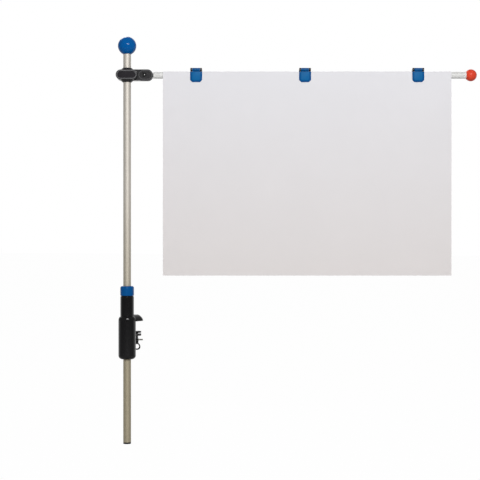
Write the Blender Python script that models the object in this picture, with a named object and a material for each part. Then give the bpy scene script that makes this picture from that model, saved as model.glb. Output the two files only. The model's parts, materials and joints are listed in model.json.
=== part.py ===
"""Clamp-on plan holder: a table clamp carries a mast, and a swivelling arm on the mast holds a hung plan.

Metres, +Z up. The origin is the middle of the seat under the clamp's hook, which lies on the table top.
+Y points in over the table and X runs along the table's edge.
"""

import math

import bmesh
import bpy
from mathutils import Matrix, Vector

for item in list(bpy.data.objects):
    bpy.data.objects.remove(item, do_unlink=True)

# Fits and facets
GAP = 0.0003  # clearance between neighbouring pieces
REACH_PAST = 0.001  # how far a cutter runs past the face it opens
MERGE = 0.000001  # points closer than this are one point
SHARP = math.radians(30.0)  # edges sharper than this are shaded sharp
SIDES = 32  # facets round a large round piece
ROD_SIDES = 24  # facets round the arm, its ball, the ring and the clips' barrels
FEW_SIDES = 16  # facets round a small piece
WIRE_SIDES = 8  # facets round the ring's wire
NUT_SIDES = 6
CORNER_STEPS = 4  # facets on a rounded corner
RIM_STEPS = 5  # facets on the hook's rim
END_STEPS = 12  # facets on a half-round end
BALL_STEPS = 16  # facets from a ball's mouth to its crown

# Mast and its ball
MAST_RADIUS = 0.008
MAST_WALL = 0.0015
MAST_BELOW = 0.249  # seat down to the tube's lower end
MAST_LENGTH = 0.809
PLUG_LENGTH = 0.012
PLUG_CAP = 0.003
STUD_RADIUS = 0.004
STUD_LENGTH = 0.012
BALL_RADIUS = 0.019
BALL_RISE = 0.0086  # ball's centre above the end of the tube

# Clamp body
SEAT_REACH = 0.029  # mast axis to the middle of the hook's seat
BODY_STEP = 0.0040  # body's side out from the neck's
BODY_RISE = 0.010  # body's shoulder above the seat
BODY_DEPTH = 0.078  # body's foot below the seat
FOOT_ROUND = 0.008
SHOULDER_ROUND = 0.004
NECK_STEP = 0.0017  # neck's side out from the spigot's
NECK_LENGTH = 0.042
SPIGOT_LENGTH = 0.012
SPIGOT_WALL = 0.0015
HOOK_REACH = 0.0447  # mast axis to the hook's tip
HOOK_HEIGHT = 0.013
HOOK_LIP = 0.0018  # hook's thickness at its edge
HOOK_CROWN = 0.38  # how full the hook's rim is, from a flat slope at 0.25 to a round at 0.5
BUSH_WALL = 0.0022
BUSH_LENGTH = 0.012

# Collet and lock collar
COLLET_WALL = 0.0022
COLLET_LENGTH = 0.046
COLLET_NOSE = 0.006
COLLET_TAPER = 0.0013
COLLET_SLIT = 0.0012
COLLET_SLIT_DEPTH = 0.026
COLLAR_WALL = 0.0015
COLLAR_HEIGHT = 0.020
COLLAR_ROUND = 0.004
COLLAR_GROOVE = 0.001
COLLAR_EDGE = 0.0005

# Slot, sliding jaw and screw
SLOT_WALL = 0.001  # body left between the bush and the slot
SLOT_HEAD = 0.011
SLOT_HEAD_DEPTH = 0.003
SLOT_NECK = 0.0064
SLOT_DROP = 0.005  # seat down to the slot's upper end
STOP_RADIUS = 0.0015
STOP_INSET = 0.0016  # stop pin's ends in from the body's side
STOP_RISE = 0.0045  # stop pin above the body's foot
RAIL_DROP = 0.001  # jaw's top down to the rail's
RAIL_LENGTH = 0.019
SPINE_HALF = 0.006
SPINE_DEPTH = 0.0043
THROAT = 0.022  # seat down to the pad, as stored on a table top
PAD_LIFT = 0.0015  # pad above the jaw, as stored
PAD_THICKNESS = 0.0035
PAD_ROOF = 0.0012
PAD_RADIUS = 0.009
PAD_EDGE = 0.0006
JAW_THICKNESS = 0.0045
JAW_HALF = 0.009
SCREW_YAW = math.radians(30.0)
SCREW_RADIUS = 0.0025
SCREW_TIP_RADIUS = 0.0016
SCREW_TRAVEL = 0.006  # screw's hub below the jaw, as stored
HUB_RADIUS = 0.0036
HUB_LENGTH = 0.005
BAR_RADIUS = 0.0015
BAR_LENGTH = 0.0248
BAR_EDGE = 0.0004
BAR_ROOM = 0.0005  # bar's end clear of the jaw's spine as it turns
STUB_RADIUS = 0.0019
STUB_LENGTH = 0.003
RING_WIRE = 0.0015
RING_HALF_HEIGHT = 0.0061
RING_HALF_WIDTH = 0.0058
RING_EGG = 0.22  # how much narrower the ring is at the top than at the bottom
RING_BOSS_RADIUS = 0.0032
RING_BOSS_LENGTH = 0.005

# Swivel bracket
ARM_DROP = 0.052  # mast's upper end down to the arm's axis
ARM_YAW = math.radians(30.0)
SLEEVE_WALL = 0.0013
CONE_HEIGHT = 0.0037
CONE_LIP = 0.0008  # cone's small end out from the bracket's bore
CONE_FLARE = 0.0023
CONE_RIM = 0.0004
BRACKET_HALF = 0.0105
SHELL_FRONT_WALL = 0.0056
SHELL_REAR_WALL = 0.0036
RIM = 0.0015
PLATE_THICKNESS = 0.0008
PLATE_SINK = 0.0012
SHELL_SCREW_OUT = 0.0056  # bracket's bore to the shell screws' axes
SHELL_SCREW_RADIUS = 0.0016
SHELL_SCREW_HEAD = 0.0028
SHELL_SCREW_HEAD_LENGTH = 0.002
SHELL_SCREW_COVER = 0.0058  # shell left in front of the screws' tips
OVAL_END = 0.0069  # shell screw's axis to the oval's end
LINK_HALF = 0.0113
LINK_ROOT = 0.0036  # bracket's bore to where the cheeks start
LINK_OUT = 0.0177  # tilt axis to the cheeks' round end
CHEEK_OUT = 0.008
CHEEK_RECESS = 0.0008
RECESS_MARGIN = 0.0028
PIVOT_OUT = 0.0136  # oval's end to the tilt axis
PIVOT_RADIUS = 0.0025
PIVOT_WELL_RADIUS = 0.0056
PIVOT_WELL_DEPTH = 0.0016
PIVOT_HEAD_RADIUS = 0.0036
PIVOT_HEAD_HEIGHT = 0.0016
PIVOT_HEAD_EDGE = 0.0005
PIVOT_END = 0.0006
NUT_RADIUS = 0.0045
NUT_THICKNESS = 0.003

# Arm and plan
TONGUE_HALF = 0.008
TONGUE_THICKNESS = 0.0084
TENON_LENGTH = 0.016
ROD_RADIUS = 0.007
ROD_WALL = 0.0025
ROD_SPARE = 0.035  # rod past the sheet's far edge
END_BALL_RADIUS = 0.0123
END_BALL_SOCKET = 0.006  # rod's end short of the ball's centre
SHEET_WIDTH = 0.594
SHEET_HEIGHT = 0.420
SHEET_THICKNESS = 0.0003
SHEET_INSET = 0.020  # rod's start to the sheet's near edge
SHEET_RISE = 0.0068  # sheet's top edge above the rod's axis

# Clips
CLIP_EDGE = 0.0684  # sheet's side edge to the middle of an outer clip
CLIP_OFF_MIDDLE = 0.0044  # middle clip off the sheet's middle
CLIP_HALF = 0.0123
SADDLE_WALL = 0.0026
SADDLE_TO = 95.0  # angles about the rod, in degrees from the back
LUG_SET_IN = 0.0004
LUG_ROOT = 55.0
LUG_FROM = 60.0  # angles about the hinge, in degrees from the back
LUG_TO = 300.0
HINGE_PIN_RADIUS = 0.0011
BARREL_RADIUS = 0.0036
BARREL_HALF = 0.008
FLAP_DROP = 0.015  # flap's lower edge below the rod's axis
FLAP_THICKNESS = 0.0024
FLAP_CORNER = 0.0044
SPRING_WIRE = 0.00035
SPRING_TURNS = 4
SPRING_PITCH = 0.0014
SPRING_POINTS = 8
POCKET_MARGIN = 0.0004

# Places on the mast
MAST_BOTTOM = -MAST_BELOW
MAST_TOP = MAST_BOTTOM + MAST_LENGTH
MAST_BORE = MAST_RADIUS + GAP
TUBE_INSIDE = MAST_RADIUS - MAST_WALL
BALL_HEIGHT = MAST_TOP + BALL_RISE
ARM_HEIGHT = MAST_TOP - ARM_DROP

# Places in the clamp
BUSH_POCKET = MAST_BORE + BUSH_WALL + GAP
COLLET_OUTSIDE = MAST_BORE + COLLET_WALL
COLLET_POCKET = COLLET_OUTSIDE + GAP
SPIGOT_RADIUS = COLLET_POCKET + SPIGOT_WALL
NECK_RADIUS = SPIGOT_RADIUS + NECK_STEP
BODY_RADIUS = NECK_RADIUS + BODY_STEP
BODY_BOTTOM = -BODY_DEPTH
NECK_TOP = BODY_RISE + NECK_LENGTH
SPIGOT_TOP = NECK_TOP + SPIGOT_LENGTH
HOOK_HALF = BODY_RADIUS - GAP
HOOK_CENTRE = HOOK_REACH - HOOK_HALF
COLLET_FLOOR = SPIGOT_TOP - COLLET_LENGTH
COLLET_TOP = SPIGOT_TOP + COLLET_NOSE
SLOT_FLOOR = BUSH_POCKET + SLOT_WALL
SLOT_STEP = SLOT_FLOOR + SLOT_HEAD_DEPTH
STOP_REACH = SLOT_FLOOR + SLOT_HEAD_DEPTH / 2
STOP_HEIGHT = BODY_BOTTOM + STOP_RISE
STOP_HALF = math.sqrt(BODY_RADIUS ** 2 - STOP_REACH ** 2) - STOP_INSET
BODY_BACK = BODY_RADIUS + GAP
SPINE_FRONT = BODY_BACK + SPINE_DEPTH

# Places on the jaw and screw
PAD_TOP = -THROAT
PAD_BOTTOM = PAD_TOP - PAD_THICKNESS
JAW_TOP = PAD_BOTTOM - PAD_LIFT
JAW_BOTTOM = JAW_TOP - JAW_THICKNESS
RAIL_TOP = JAW_TOP - RAIL_DROP
RAIL_BOTTOM = RAIL_TOP - RAIL_LENGTH
SCREW_REACH = SPINE_FRONT + BAR_ROOM + BAR_LENGTH / 2
HUB_TOP = JAW_BOTTOM - SCREW_TRAVEL
HUB_BOTTOM = HUB_TOP - HUB_LENGTH
BAR_HEIGHT = HUB_TOP - HUB_LENGTH / 2
RING_BOSS_TOP = HUB_BOTTOM - GAP
RING_CENTRE = RING_BOSS_TOP - RING_BOSS_LENGTH - RING_HALF_HEIGHT

# Places on the bracket
SLEEVE_OUTSIDE = MAST_BORE + SLEEVE_WALL
SLEEVE_BORE = SLEEVE_OUTSIDE + GAP
CONE_SMALL = SLEEVE_BORE + CONE_LIP
CONE_RADIUS = CONE_SMALL + CONE_FLARE
CONE_SEAT = BRACKET_HALF + GAP
SLEEVE_HALF = CONE_SEAT + CONE_HEIGHT
SHELL_FRONT = SLEEVE_BORE + SHELL_FRONT_WALL
SHELL_REAR = SLEEVE_BORE + SHELL_REAR_WALL
SHELL_SCREW_REACH = SLEEVE_BORE + SHELL_SCREW_OUT
OVAL_HALF = SHELL_SCREW_REACH + OVAL_END
LINK_START = SLEEVE_BORE + LINK_ROOT
PIVOT_REACH = OVAL_HALF + PIVOT_OUT
LINK_END = PIVOT_REACH + LINK_OUT
CHEEK_IN = TONGUE_THICKNESS / 2 + GAP
WEB_END = PIVOT_REACH - TONGUE_HALF - GAP

# Places along the arm, from the tilt axis
TONGUE_END = LINK_OUT + GAP
ROD_START = TONGUE_END + GAP
SHEET_LEFT = ROD_START + SHEET_INSET
SHEET_RIGHT = SHEET_LEFT + SHEET_WIDTH
ROD_END = SHEET_RIGHT + ROD_SPARE
ROD_INSIDE = ROD_RADIUS - ROD_WALL
END_BALL_PLACE = ROD_END + END_BALL_SOCKET
SHEET_BACK = -ROD_RADIUS - GAP
SHEET_FRONT = SHEET_BACK - SHEET_THICKNESS
CLIP_PLACES = (
    SHEET_LEFT + CLIP_EDGE,
    (SHEET_LEFT + SHEET_RIGHT) / 2 - CLIP_OFF_MIDDLE,
    SHEET_RIGHT - CLIP_EDGE,
)

# Places round the rod in a clip
HINGE_FORWARD = ROD_RADIUS
HINGE_RISE = SHEET_RISE + GAP + BARREL_RADIUS
SADDLE_INSIDE = ROD_RADIUS + GAP
SADDLE_OUTSIDE = SADDLE_INSIDE + SADDLE_WALL
SADDLE_FROM = math.degrees(math.acos((ROD_RADIUS - GAP) / SADDLE_OUTSIDE)) - 180.0
SPRING_RADIUS = HINGE_PIN_RADIUS + GAP + 2 * SPRING_WIRE
SPRING_LENGTH = SPRING_TURNS * SPRING_PITCH
POCKET_RADIUS = SPRING_RADIUS + SPRING_WIRE + POCKET_MARGIN

ALONG_X = Matrix.Rotation(math.pi / 2, 4, "Y")
ALONG_Y = Matrix.Rotation(-math.pi / 2, 4, "X")


def finish(name, colour, roughness, metallic=0.0):
    """A plain surface finish for one kind of material."""
    material = bpy.data.materials.new(name)
    material.use_nodes = True
    shader = material.node_tree.nodes["Principled BSDF"]
    shader.inputs["Base Color"].default_value = (*colour, 1.0)
    shader.inputs["Roughness"].default_value = roughness
    shader.inputs["Metallic"].default_value = metallic
    return material


ALUMINIUM = finish("satin_aluminium", (0.62, 0.60, 0.56), 0.35, 1.0)
STEEL = finish("zinc_steel", (0.48, 0.49, 0.47), 0.35, 1.0)
DARK_STEEL = finish("black_steel", (0.02, 0.02, 0.02), 0.4, 0.6)
BLACK_PLASTIC = finish("black_plastic", (0.012, 0.012, 0.013), 0.35)
BLUE_PLASTIC = finish("blue_plastic", (0.005, 0.095, 0.29), 0.3)
RED_PLASTIC = finish("red_plastic", (0.77, 0.07, 0.03), 0.3)
PAPER = finish("white_paper", (0.76, 0.76, 0.77), 0.8)


def frame(name, parent=None, place=(0.0, 0.0, 0.0), yaw=0.0):
    """An empty that carries the pieces of one moving group."""
    empty = bpy.data.objects.new(name, None)
    bpy.context.scene.collection.objects.link(empty)
    empty.parent = parent
    empty.location = place
    empty.rotation_euler = (0.0, 0.0, yaw)
    return empty


def piece(name, bm, material, parent, place=(0.0, 0.0, 0.0)):
    """Turn a bmesh into a named object on its carrier."""
    bmesh.ops.remove_doubles(bm, verts=bm.verts, dist=MERGE)
    bmesh.ops.recalc_face_normals(bm, faces=bm.faces)
    mesh = bpy.data.meshes.new(name)
    bm.to_mesh(mesh)
    bm.free()
    mesh.shade_smooth()
    mesh.set_sharp_from_angle(angle=SHARP)
    mesh.materials.append(material)
    made = bpy.data.objects.new(name, mesh)
    bpy.context.scene.collection.objects.link(made)
    made.parent = parent
    made.location = place
    return made


def combine(made, other, operation):
    """Cut another shape out of a piece, or join it on, and keep that shape as a hidden guide."""
    other.hide_render = True
    other.display_type = "WIRE"
    step = made.modifiers.new(other.name, "BOOLEAN")
    step.operation = operation
    step.solver = "EXACT"
    step.object = other


def cut(made, bm, place=(0.0, 0.0, 0.0)):
    """Cut a shape, given in the piece's own carrier, out of the piece."""
    guide = piece(made.name + "_cut", bm, made.data.materials[0], made.parent, place)
    combine(made, guide, "DIFFERENCE")


def join(made, bm, place=(0.0, 0.0, 0.0)):
    """Join a shape, given in the piece's own carrier, to the piece."""
    guide = piece(made.name + "_add", bm, made.data.materials[0], made.parent, place)
    combine(made, guide, "UNION")


def arc(centre, radius, start, end, steps):
    """Points on an arc from one angle to another, in degrees."""
    angles = [math.radians(start + (end - start) * step / steps) for step in range(steps + 1)]
    return [(centre[0] + radius * math.cos(a), centre[1] + radius * math.sin(a)) for a in angles]


def turned(profile, closed=False, sides=SIDES, axis=None):
    """Spin (radius, height) points about an axis.

    An open profile ends on the axis, and a closed one is the section of a ring.
    """
    bm = bmesh.new()
    points = [bm.verts.new((radius, 0.0, height)) for radius, height in profile]
    pairs = list(zip(points, points[1:]))
    if closed:
        pairs.append((points[-1], points[0]))
    edges = [bm.edges.new(pair) for pair in pairs]
    bmesh.ops.spin(
        bm, geom=points + edges, cent=(0.0, 0.0, 0.0), axis=(0.0, 0.0, 1.0),
        angle=2 * math.pi, steps=sides, use_merge=True,
    )
    if axis is not None:
        bmesh.ops.transform(bm, matrix=axis, verts=bm.verts)
    return bm


def cylinder(radius, low, high, sides=SIDES, axis=None):
    """A plain round bar between two heights on its axis."""
    return turned([(0.0, low), (radius, low), (radius, high), (0.0, high)], sides=sides, axis=axis)


def extruded(outline, low, high, plane="XY"):
    """Extrude a flat outline in one plane along the plane's normal."""
    place = {
        "XY": lambda u, v, w: (u, v, w),
        "XZ": lambda u, v, w: (u, w, v),
        "YZ": lambda u, v, w: (w, u, v),
    }[plane]
    bm = bmesh.new()
    face = bm.faces.new([bm.verts.new(place(u, v, low)) for u, v in outline])
    grown = bmesh.ops.extrude_face_region(bm, geom=[face])
    moved = [part for part in grown["geom"] if isinstance(part, bmesh.types.BMVert)]
    bmesh.ops.translate(bm, verts=moved, vec=place(0.0, 0.0, high - low))
    return bm


def stadium(left, right, half):
    """An oblong outline with round ends."""
    far_end = arc((right - half, 0.0), half, -90.0, 90.0, END_STEPS)
    near_end = arc((left + half, 0.0), half, 90.0, 270.0, END_STEPS)
    return far_end + near_end


def tee(slack):
    """The outline of the clamp's slot, drawn in by a running clearance for the rail that slides in it."""
    head = SLOT_HEAD / 2 - slack
    neck = SLOT_NECK / 2 - slack
    floor = SLOT_FLOOR + slack
    step = SLOT_STEP - slack
    right = [(head, floor), (head, step), (neck, step)]
    return right, [(-x, y) for x, y in reversed(right)]


clamp_frame = frame("clamp_frame", place=(0.0, -SEAT_REACH, 0.0))
mast_frame = frame("mast_frame", place=(0.0, -SEAT_REACH, 0.0))
swivel_frame = frame("swivel_frame", mast_frame, (0.0, 0.0, ARM_HEIGHT), ARM_YAW)
tilt_frame = frame("tilt_frame", swivel_frame, (PIVOT_REACH, 0.0, 0.0))
screw_frame = frame("screw_frame", clamp_frame, (0.0, SCREW_REACH, 0.0), SCREW_YAW)


def hook_shape():
    """The hook over the table top: flat below, and domed above down to a thin edge like a beak."""
    tip = arc((0.0, HOOK_CENTRE), HOOK_HALF, 180.0, 0.0, END_STEPS)
    outline = [(-HOOK_HALF, 0.0), *tip, (HOOK_HALF, 0.0)]
    bm = extruded(outline, 0.0, HOOK_HEIGHT)
    crown = {vert for vert in bm.verts if vert.co.z > HOOK_HEIGHT / 2}
    edges = [edge for edge in bm.edges if crown.issuperset(edge.verts)]
    rim = [edge for edge in edges if max(vert.co.y for vert in edge.verts) > 0.0]
    bmesh.ops.bevel(
        bm, geom=rim, offset=HOOK_HEIGHT - HOOK_LIP, segments=RIM_STEPS, profile=HOOK_CROWN,
        affect="EDGES", material=-1,
    )
    return bm


def clamp_pieces():
    """The moulded clamp body and what sits in it."""
    foot = (BODY_RADIUS - FOOT_ROUND, BODY_BOTTOM + FOOT_ROUND)
    shoulder = (BODY_RADIUS - SHOULDER_ROUND, BODY_RISE - SHOULDER_ROUND)
    body = piece("clamp_body", turned([
        (0.0, BODY_BOTTOM), *arc(foot, FOOT_ROUND, -90.0, 0.0, CORNER_STEPS),
        *arc(shoulder, SHOULDER_ROUND, 0.0, 90.0, CORNER_STEPS),
        (NECK_RADIUS, BODY_RISE), (NECK_RADIUS, NECK_TOP), (SPIGOT_RADIUS, NECK_TOP),
        (SPIGOT_RADIUS, SPIGOT_TOP), (0.0, SPIGOT_TOP),
    ]), BLACK_PLASTIC, clamp_frame)
    join(body, hook_shape())
    below = BODY_BOTTOM - REACH_PAST
    above = SPIGOT_TOP + REACH_PAST
    bush_top = BODY_BOTTOM + BUSH_LENGTH
    cut(body, turned([
        (0.0, below), (BUSH_POCKET, below), (BUSH_POCKET, bush_top), (MAST_BORE, bush_top),
        (MAST_BORE, COLLET_FLOOR), (COLLET_POCKET, COLLET_FLOOR), (COLLET_POCKET, above), (0.0, above),
    ]))
    right, left = tee(0.0)
    mouth = [(SLOT_NECK / 2, BODY_RADIUS + REACH_PAST), (-SLOT_NECK / 2, BODY_RADIUS + REACH_PAST)]
    cut(body, extruded(right + mouth + left, below, -SLOT_DROP))
    cut(body, cylinder(STOP_RADIUS + GAP, -BODY_RADIUS, BODY_RADIUS, FEW_SIDES, ALONG_X),
        (0.0, STOP_REACH, STOP_HEIGHT))

    piece("lower_guide_bush", turned([
        (MAST_BORE, BODY_BOTTOM + GAP), (MAST_BORE + BUSH_WALL, BODY_BOTTOM + GAP),
        (MAST_BORE + BUSH_WALL, bush_top - GAP), (MAST_BORE, bush_top - GAP),
    ], closed=True), BLACK_PLASTIC, clamp_frame)
    piece("jaw_stop_pin", cylinder(STOP_RADIUS, -STOP_HALF, STOP_HALF, FEW_SIDES, ALONG_X),
          STEEL, clamp_frame, (0.0, STOP_REACH, STOP_HEIGHT))


def collet_and_collar():
    """The slit collet that grips the mast and the blue collar that closes it."""
    low = COLLET_FLOOR + GAP
    collet = piece("collet", turned([
        (MAST_BORE, low), (COLLET_OUTSIDE, low), (COLLET_OUTSIDE, SPIGOT_TOP),
        (COLLET_OUTSIDE - COLLET_TAPER, COLLET_TOP), (MAST_BORE, COLLET_TOP),
    ], closed=True), BLACK_PLASTIC, clamp_frame)
    wide = COLLET_OUTSIDE + REACH_PAST
    thin = COLLET_SLIT / 2
    quarter = [(thin, wide), (-thin, wide), (-thin, thin)]
    cross = []
    for turn in (0.0, 90.0, 180.0, 270.0):
        cosine = math.cos(math.radians(turn))
        sine = math.sin(math.radians(turn))
        cross += [(x * cosine - y * sine, x * sine + y * cosine) for x, y in quarter]
    cut(collet, extruded(cross, COLLET_TOP - COLLET_SLIT_DEPTH, COLLET_TOP + REACH_PAST))

    inside = SPIGOT_RADIUS + GAP
    outside = inside + COLLAR_WALL
    low = NECK_TOP + COLLAR_GROOVE
    high = low + COLLAR_HEIGHT
    roof = SPIGOT_TOP + GAP
    cone_top = COLLET_TOP + GAP
    piece("lock_collar", turned([
        (inside, low), (outside - COLLAR_EDGE, low), (outside, low + COLLAR_EDGE),
        *arc((outside - COLLAR_ROUND, high - COLLAR_ROUND), COLLAR_ROUND, 0.0, 90.0, CORNER_STEPS),
        (MAST_BORE + GAP, high), (MAST_BORE + GAP, cone_top), (COLLET_POCKET - COLLET_TAPER, cone_top),
        (COLLET_POCKET + GAP, roof), (inside, roof),
    ], closed=True), BLUE_PLASTIC, clamp_frame)


def jaw_pieces():
    """The jaw that slides in the body's slot, and the screw that presses the table from below."""
    right, left = tee(GAP)
    neck = SLOT_NECK / 2 - GAP
    spine = [(neck, BODY_BACK), (SPINE_HALF, BODY_BACK), (SPINE_HALF, SPINE_FRONT)]
    spine += [(-x, y) for x, y in reversed(spine)]
    rail = extruded(right + spine + left, RAIL_BOTTOM, RAIL_TOP)
    jaw = piece("sliding_jaw", rail, BLACK_PLASTIC, clamp_frame)
    nose = arc((0.0, SCREW_REACH), JAW_HALF, 180.0, 0.0, END_STEPS)
    arm = [(-JAW_HALF, BODY_BACK), *nose, (JAW_HALF, BODY_BACK)]
    join(jaw, extruded(arm, JAW_BOTTOM, JAW_TOP))
    cut(jaw, cylinder(SCREW_RADIUS + GAP, JAW_BOTTOM - REACH_PAST, JAW_TOP + REACH_PAST, FEW_SIDES),
        (0.0, SCREW_REACH, 0.0))

    socket_top = PAD_TOP - PAD_ROOF
    socket = SCREW_TIP_RADIUS + GAP
    piece("pressure_pad", turned([
        (0.0, socket_top), (socket, socket_top), (socket, PAD_BOTTOM),
        (PAD_RADIUS - PAD_EDGE, PAD_BOTTOM), (PAD_RADIUS, PAD_BOTTOM + PAD_EDGE),
        (PAD_RADIUS, PAD_TOP - PAD_EDGE), (PAD_RADIUS - PAD_EDGE, PAD_TOP), (0.0, PAD_TOP),
    ]), BLACK_PLASTIC, screw_frame)

    screw_top = PAD_BOTTOM - GAP
    stub_bottom = HUB_BOTTOM - STUB_LENGTH
    screw = piece("clamp_screw", turned([
        (0.0, socket_top - GAP), (SCREW_TIP_RADIUS, socket_top - GAP), (SCREW_TIP_RADIUS, screw_top),
        (SCREW_RADIUS, screw_top), (SCREW_RADIUS, HUB_TOP), (HUB_RADIUS, HUB_TOP), (HUB_RADIUS, HUB_BOTTOM),
        (STUB_RADIUS, HUB_BOTTOM), (STUB_RADIUS, stub_bottom), (0.0, stub_bottom),
    ], sides=FEW_SIDES), DARK_STEEL, screw_frame)
    through = HUB_RADIUS + REACH_PAST
    cut(screw, cylinder(BAR_RADIUS + GAP, -through, through, FEW_SIDES, ALONG_X), (0.0, 0.0, BAR_HEIGHT))

    half = BAR_LENGTH / 2
    piece("tommy_bar", turned([
        (0.0, -half), (BAR_RADIUS - BAR_EDGE, -half), (BAR_RADIUS, BAR_EDGE - half),
        (BAR_RADIUS, half - BAR_EDGE), (BAR_RADIUS - BAR_EDGE, half), (0.0, half),
    ], sides=FEW_SIDES, axis=ALONG_X), STEEL, screw_frame, (0.0, 0.0, BAR_HEIGHT))

    boss_bottom = RING_BOSS_TOP - RING_BOSS_LENGTH
    hole_bottom = stub_bottom - GAP
    hole = STUB_RADIUS + GAP
    ring = piece("ring_handle", turned([
        (0.0, hole_bottom), (hole, hole_bottom), (hole, RING_BOSS_TOP), (RING_BOSS_RADIUS, RING_BOSS_TOP),
        (RING_BOSS_RADIUS, boss_bottom), (0.0, boss_bottom - RING_WIRE / 2),
    ], sides=FEW_SIDES), BLACK_PLASTIC, screw_frame)
    section = arc((RING_HALF_HEIGHT, 0.0), RING_WIRE, 0.0, 360.0, WIRE_SIDES)[1:]
    wire = turned(section, closed=True, sides=ROD_SIDES, axis=ALONG_Y)
    stretch = RING_HALF_WIDTH / RING_HALF_HEIGHT
    for vert in wire.verts:
        vert.co.x *= stretch - RING_EGG * vert.co.z / (2 * RING_HALF_HEIGHT)
    join(ring, wire, (0.0, 0.0, RING_CENTRE))


def mast_pieces():
    """The mast tube, the plugs in its ends and the ball on top."""
    piece("mast_tube", turned([
        (TUBE_INSIDE, MAST_BOTTOM), (MAST_RADIUS, MAST_BOTTOM),
        (MAST_RADIUS, MAST_TOP), (TUBE_INSIDE, MAST_TOP),
    ], closed=True), ALUMINIUM, mast_frame)
    plug = TUBE_INSIDE - GAP
    cap_top = MAST_BOTTOM - GAP
    piece("mast_end_plug", turned([
        (0.0, cap_top - PLUG_CAP), (MAST_RADIUS - GAP, cap_top - PLUG_CAP),
        (MAST_RADIUS, cap_top - PLUG_CAP / 2), (MAST_RADIUS, cap_top), (plug, cap_top),
        (plug, cap_top + PLUG_LENGTH), (0.0, cap_top + PLUG_LENGTH),
    ]), BLACK_PLASTIC, mast_frame)
    stud_top = MAST_TOP + STUD_LENGTH
    piece("ball_stud", turned([
        (0.0, MAST_TOP - PLUG_LENGTH), (plug, MAST_TOP - PLUG_LENGTH), (plug, MAST_TOP),
        (STUD_RADIUS, MAST_TOP), (STUD_RADIUS, stud_top), (0.0, stud_top),
    ], sides=FEW_SIDES), STEEL, mast_frame)
    mouth = math.degrees(math.acos(MAST_BORE / BALL_RADIUS))
    roof = MAST_TOP + GAP
    piece("ball_knob", turned([
        *reversed(arc((0.0, BALL_HEIGHT), BALL_RADIUS, -mouth, 90.0, BALL_STEPS)),
        (MAST_BORE, roof), (STUD_RADIUS + GAP, roof), (STUD_RADIUS + GAP, stud_top + GAP),
        (0.0, stud_top + GAP),
    ]), BLUE_PLASTIC, mast_frame)


def sleeve_pieces():
    """The sleeve that slides on the mast, with a cone at each end between which the bracket turns."""
    piece("slide_sleeve", turned([
        (MAST_BORE, -SLEEVE_HALF), (CONE_SMALL, -SLEEVE_HALF), (CONE_RADIUS, -CONE_SEAT - CONE_RIM),
        (CONE_RADIUS, -CONE_SEAT), (SLEEVE_OUTSIDE, -CONE_SEAT), (SLEEVE_OUTSIDE, SLEEVE_HALF),
        (MAST_BORE, SLEEVE_HALF),
    ], closed=True), BLACK_PLASTIC, swivel_frame)
    piece("sleeve_top_ring", turned([
        (SLEEVE_BORE, CONE_SEAT), (CONE_RADIUS, CONE_SEAT), (CONE_RADIUS, CONE_SEAT + CONE_RIM),
        (CONE_SMALL, SLEEVE_HALF), (SLEEVE_BORE, SLEEVE_HALF),
    ], closed=True), BLACK_PLASTIC, swivel_frame)


def bracket_half(name, side, depth):
    """One half of the swivel bracket: an oval clamp shell with a cheek that runs out to the tilt pivot."""
    split = GAP / 2

    def across(near, far):
        return sorted((side * near, side * far))

    oval = stadium(-OVAL_HALF, OVAL_HALF, BRACKET_HALF)
    shell = piece(name, extruded(oval, *across(split, depth), "XZ"), BLACK_PLASTIC, swivel_frame)
    tip = arc((LINK_END - LINK_HALF, 0.0), LINK_HALF, -90.0, 90.0, END_STEPS)
    cheek = [(LINK_START, -LINK_HALF), *tip, (LINK_START, LINK_HALF)]
    join(shell, extruded(cheek, *across(CHEEK_IN, CHEEK_OUT), "XZ"))
    web = [(LINK_START, -LINK_HALF), (WEB_END, -LINK_HALF)]
    web += [(x, -z) for x, z in reversed(web)]
    join(shell, extruded(web, *across(split, (CHEEK_IN + CHEEK_OUT) / 2), "XZ"))
    tall = LINK_HALF + REACH_PAST
    cut(shell, cylinder(SLEEVE_BORE, -tall, tall))
    cut(shell, cylinder(PIVOT_RADIUS + GAP, *across(0.0, CHEEK_OUT + REACH_PAST), FEW_SIDES, ALONG_Y),
        (PIVOT_REACH, 0.0, 0.0))
    recess = stadium(OVAL_HALF + RECESS_MARGIN, LINK_END - RECESS_MARGIN, LINK_HALF - RECESS_MARGIN)
    cut(shell, extruded(recess, *across(CHEEK_OUT - CHEEK_RECESS, CHEEK_OUT + REACH_PAST), "XZ"))
    return shell


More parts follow.
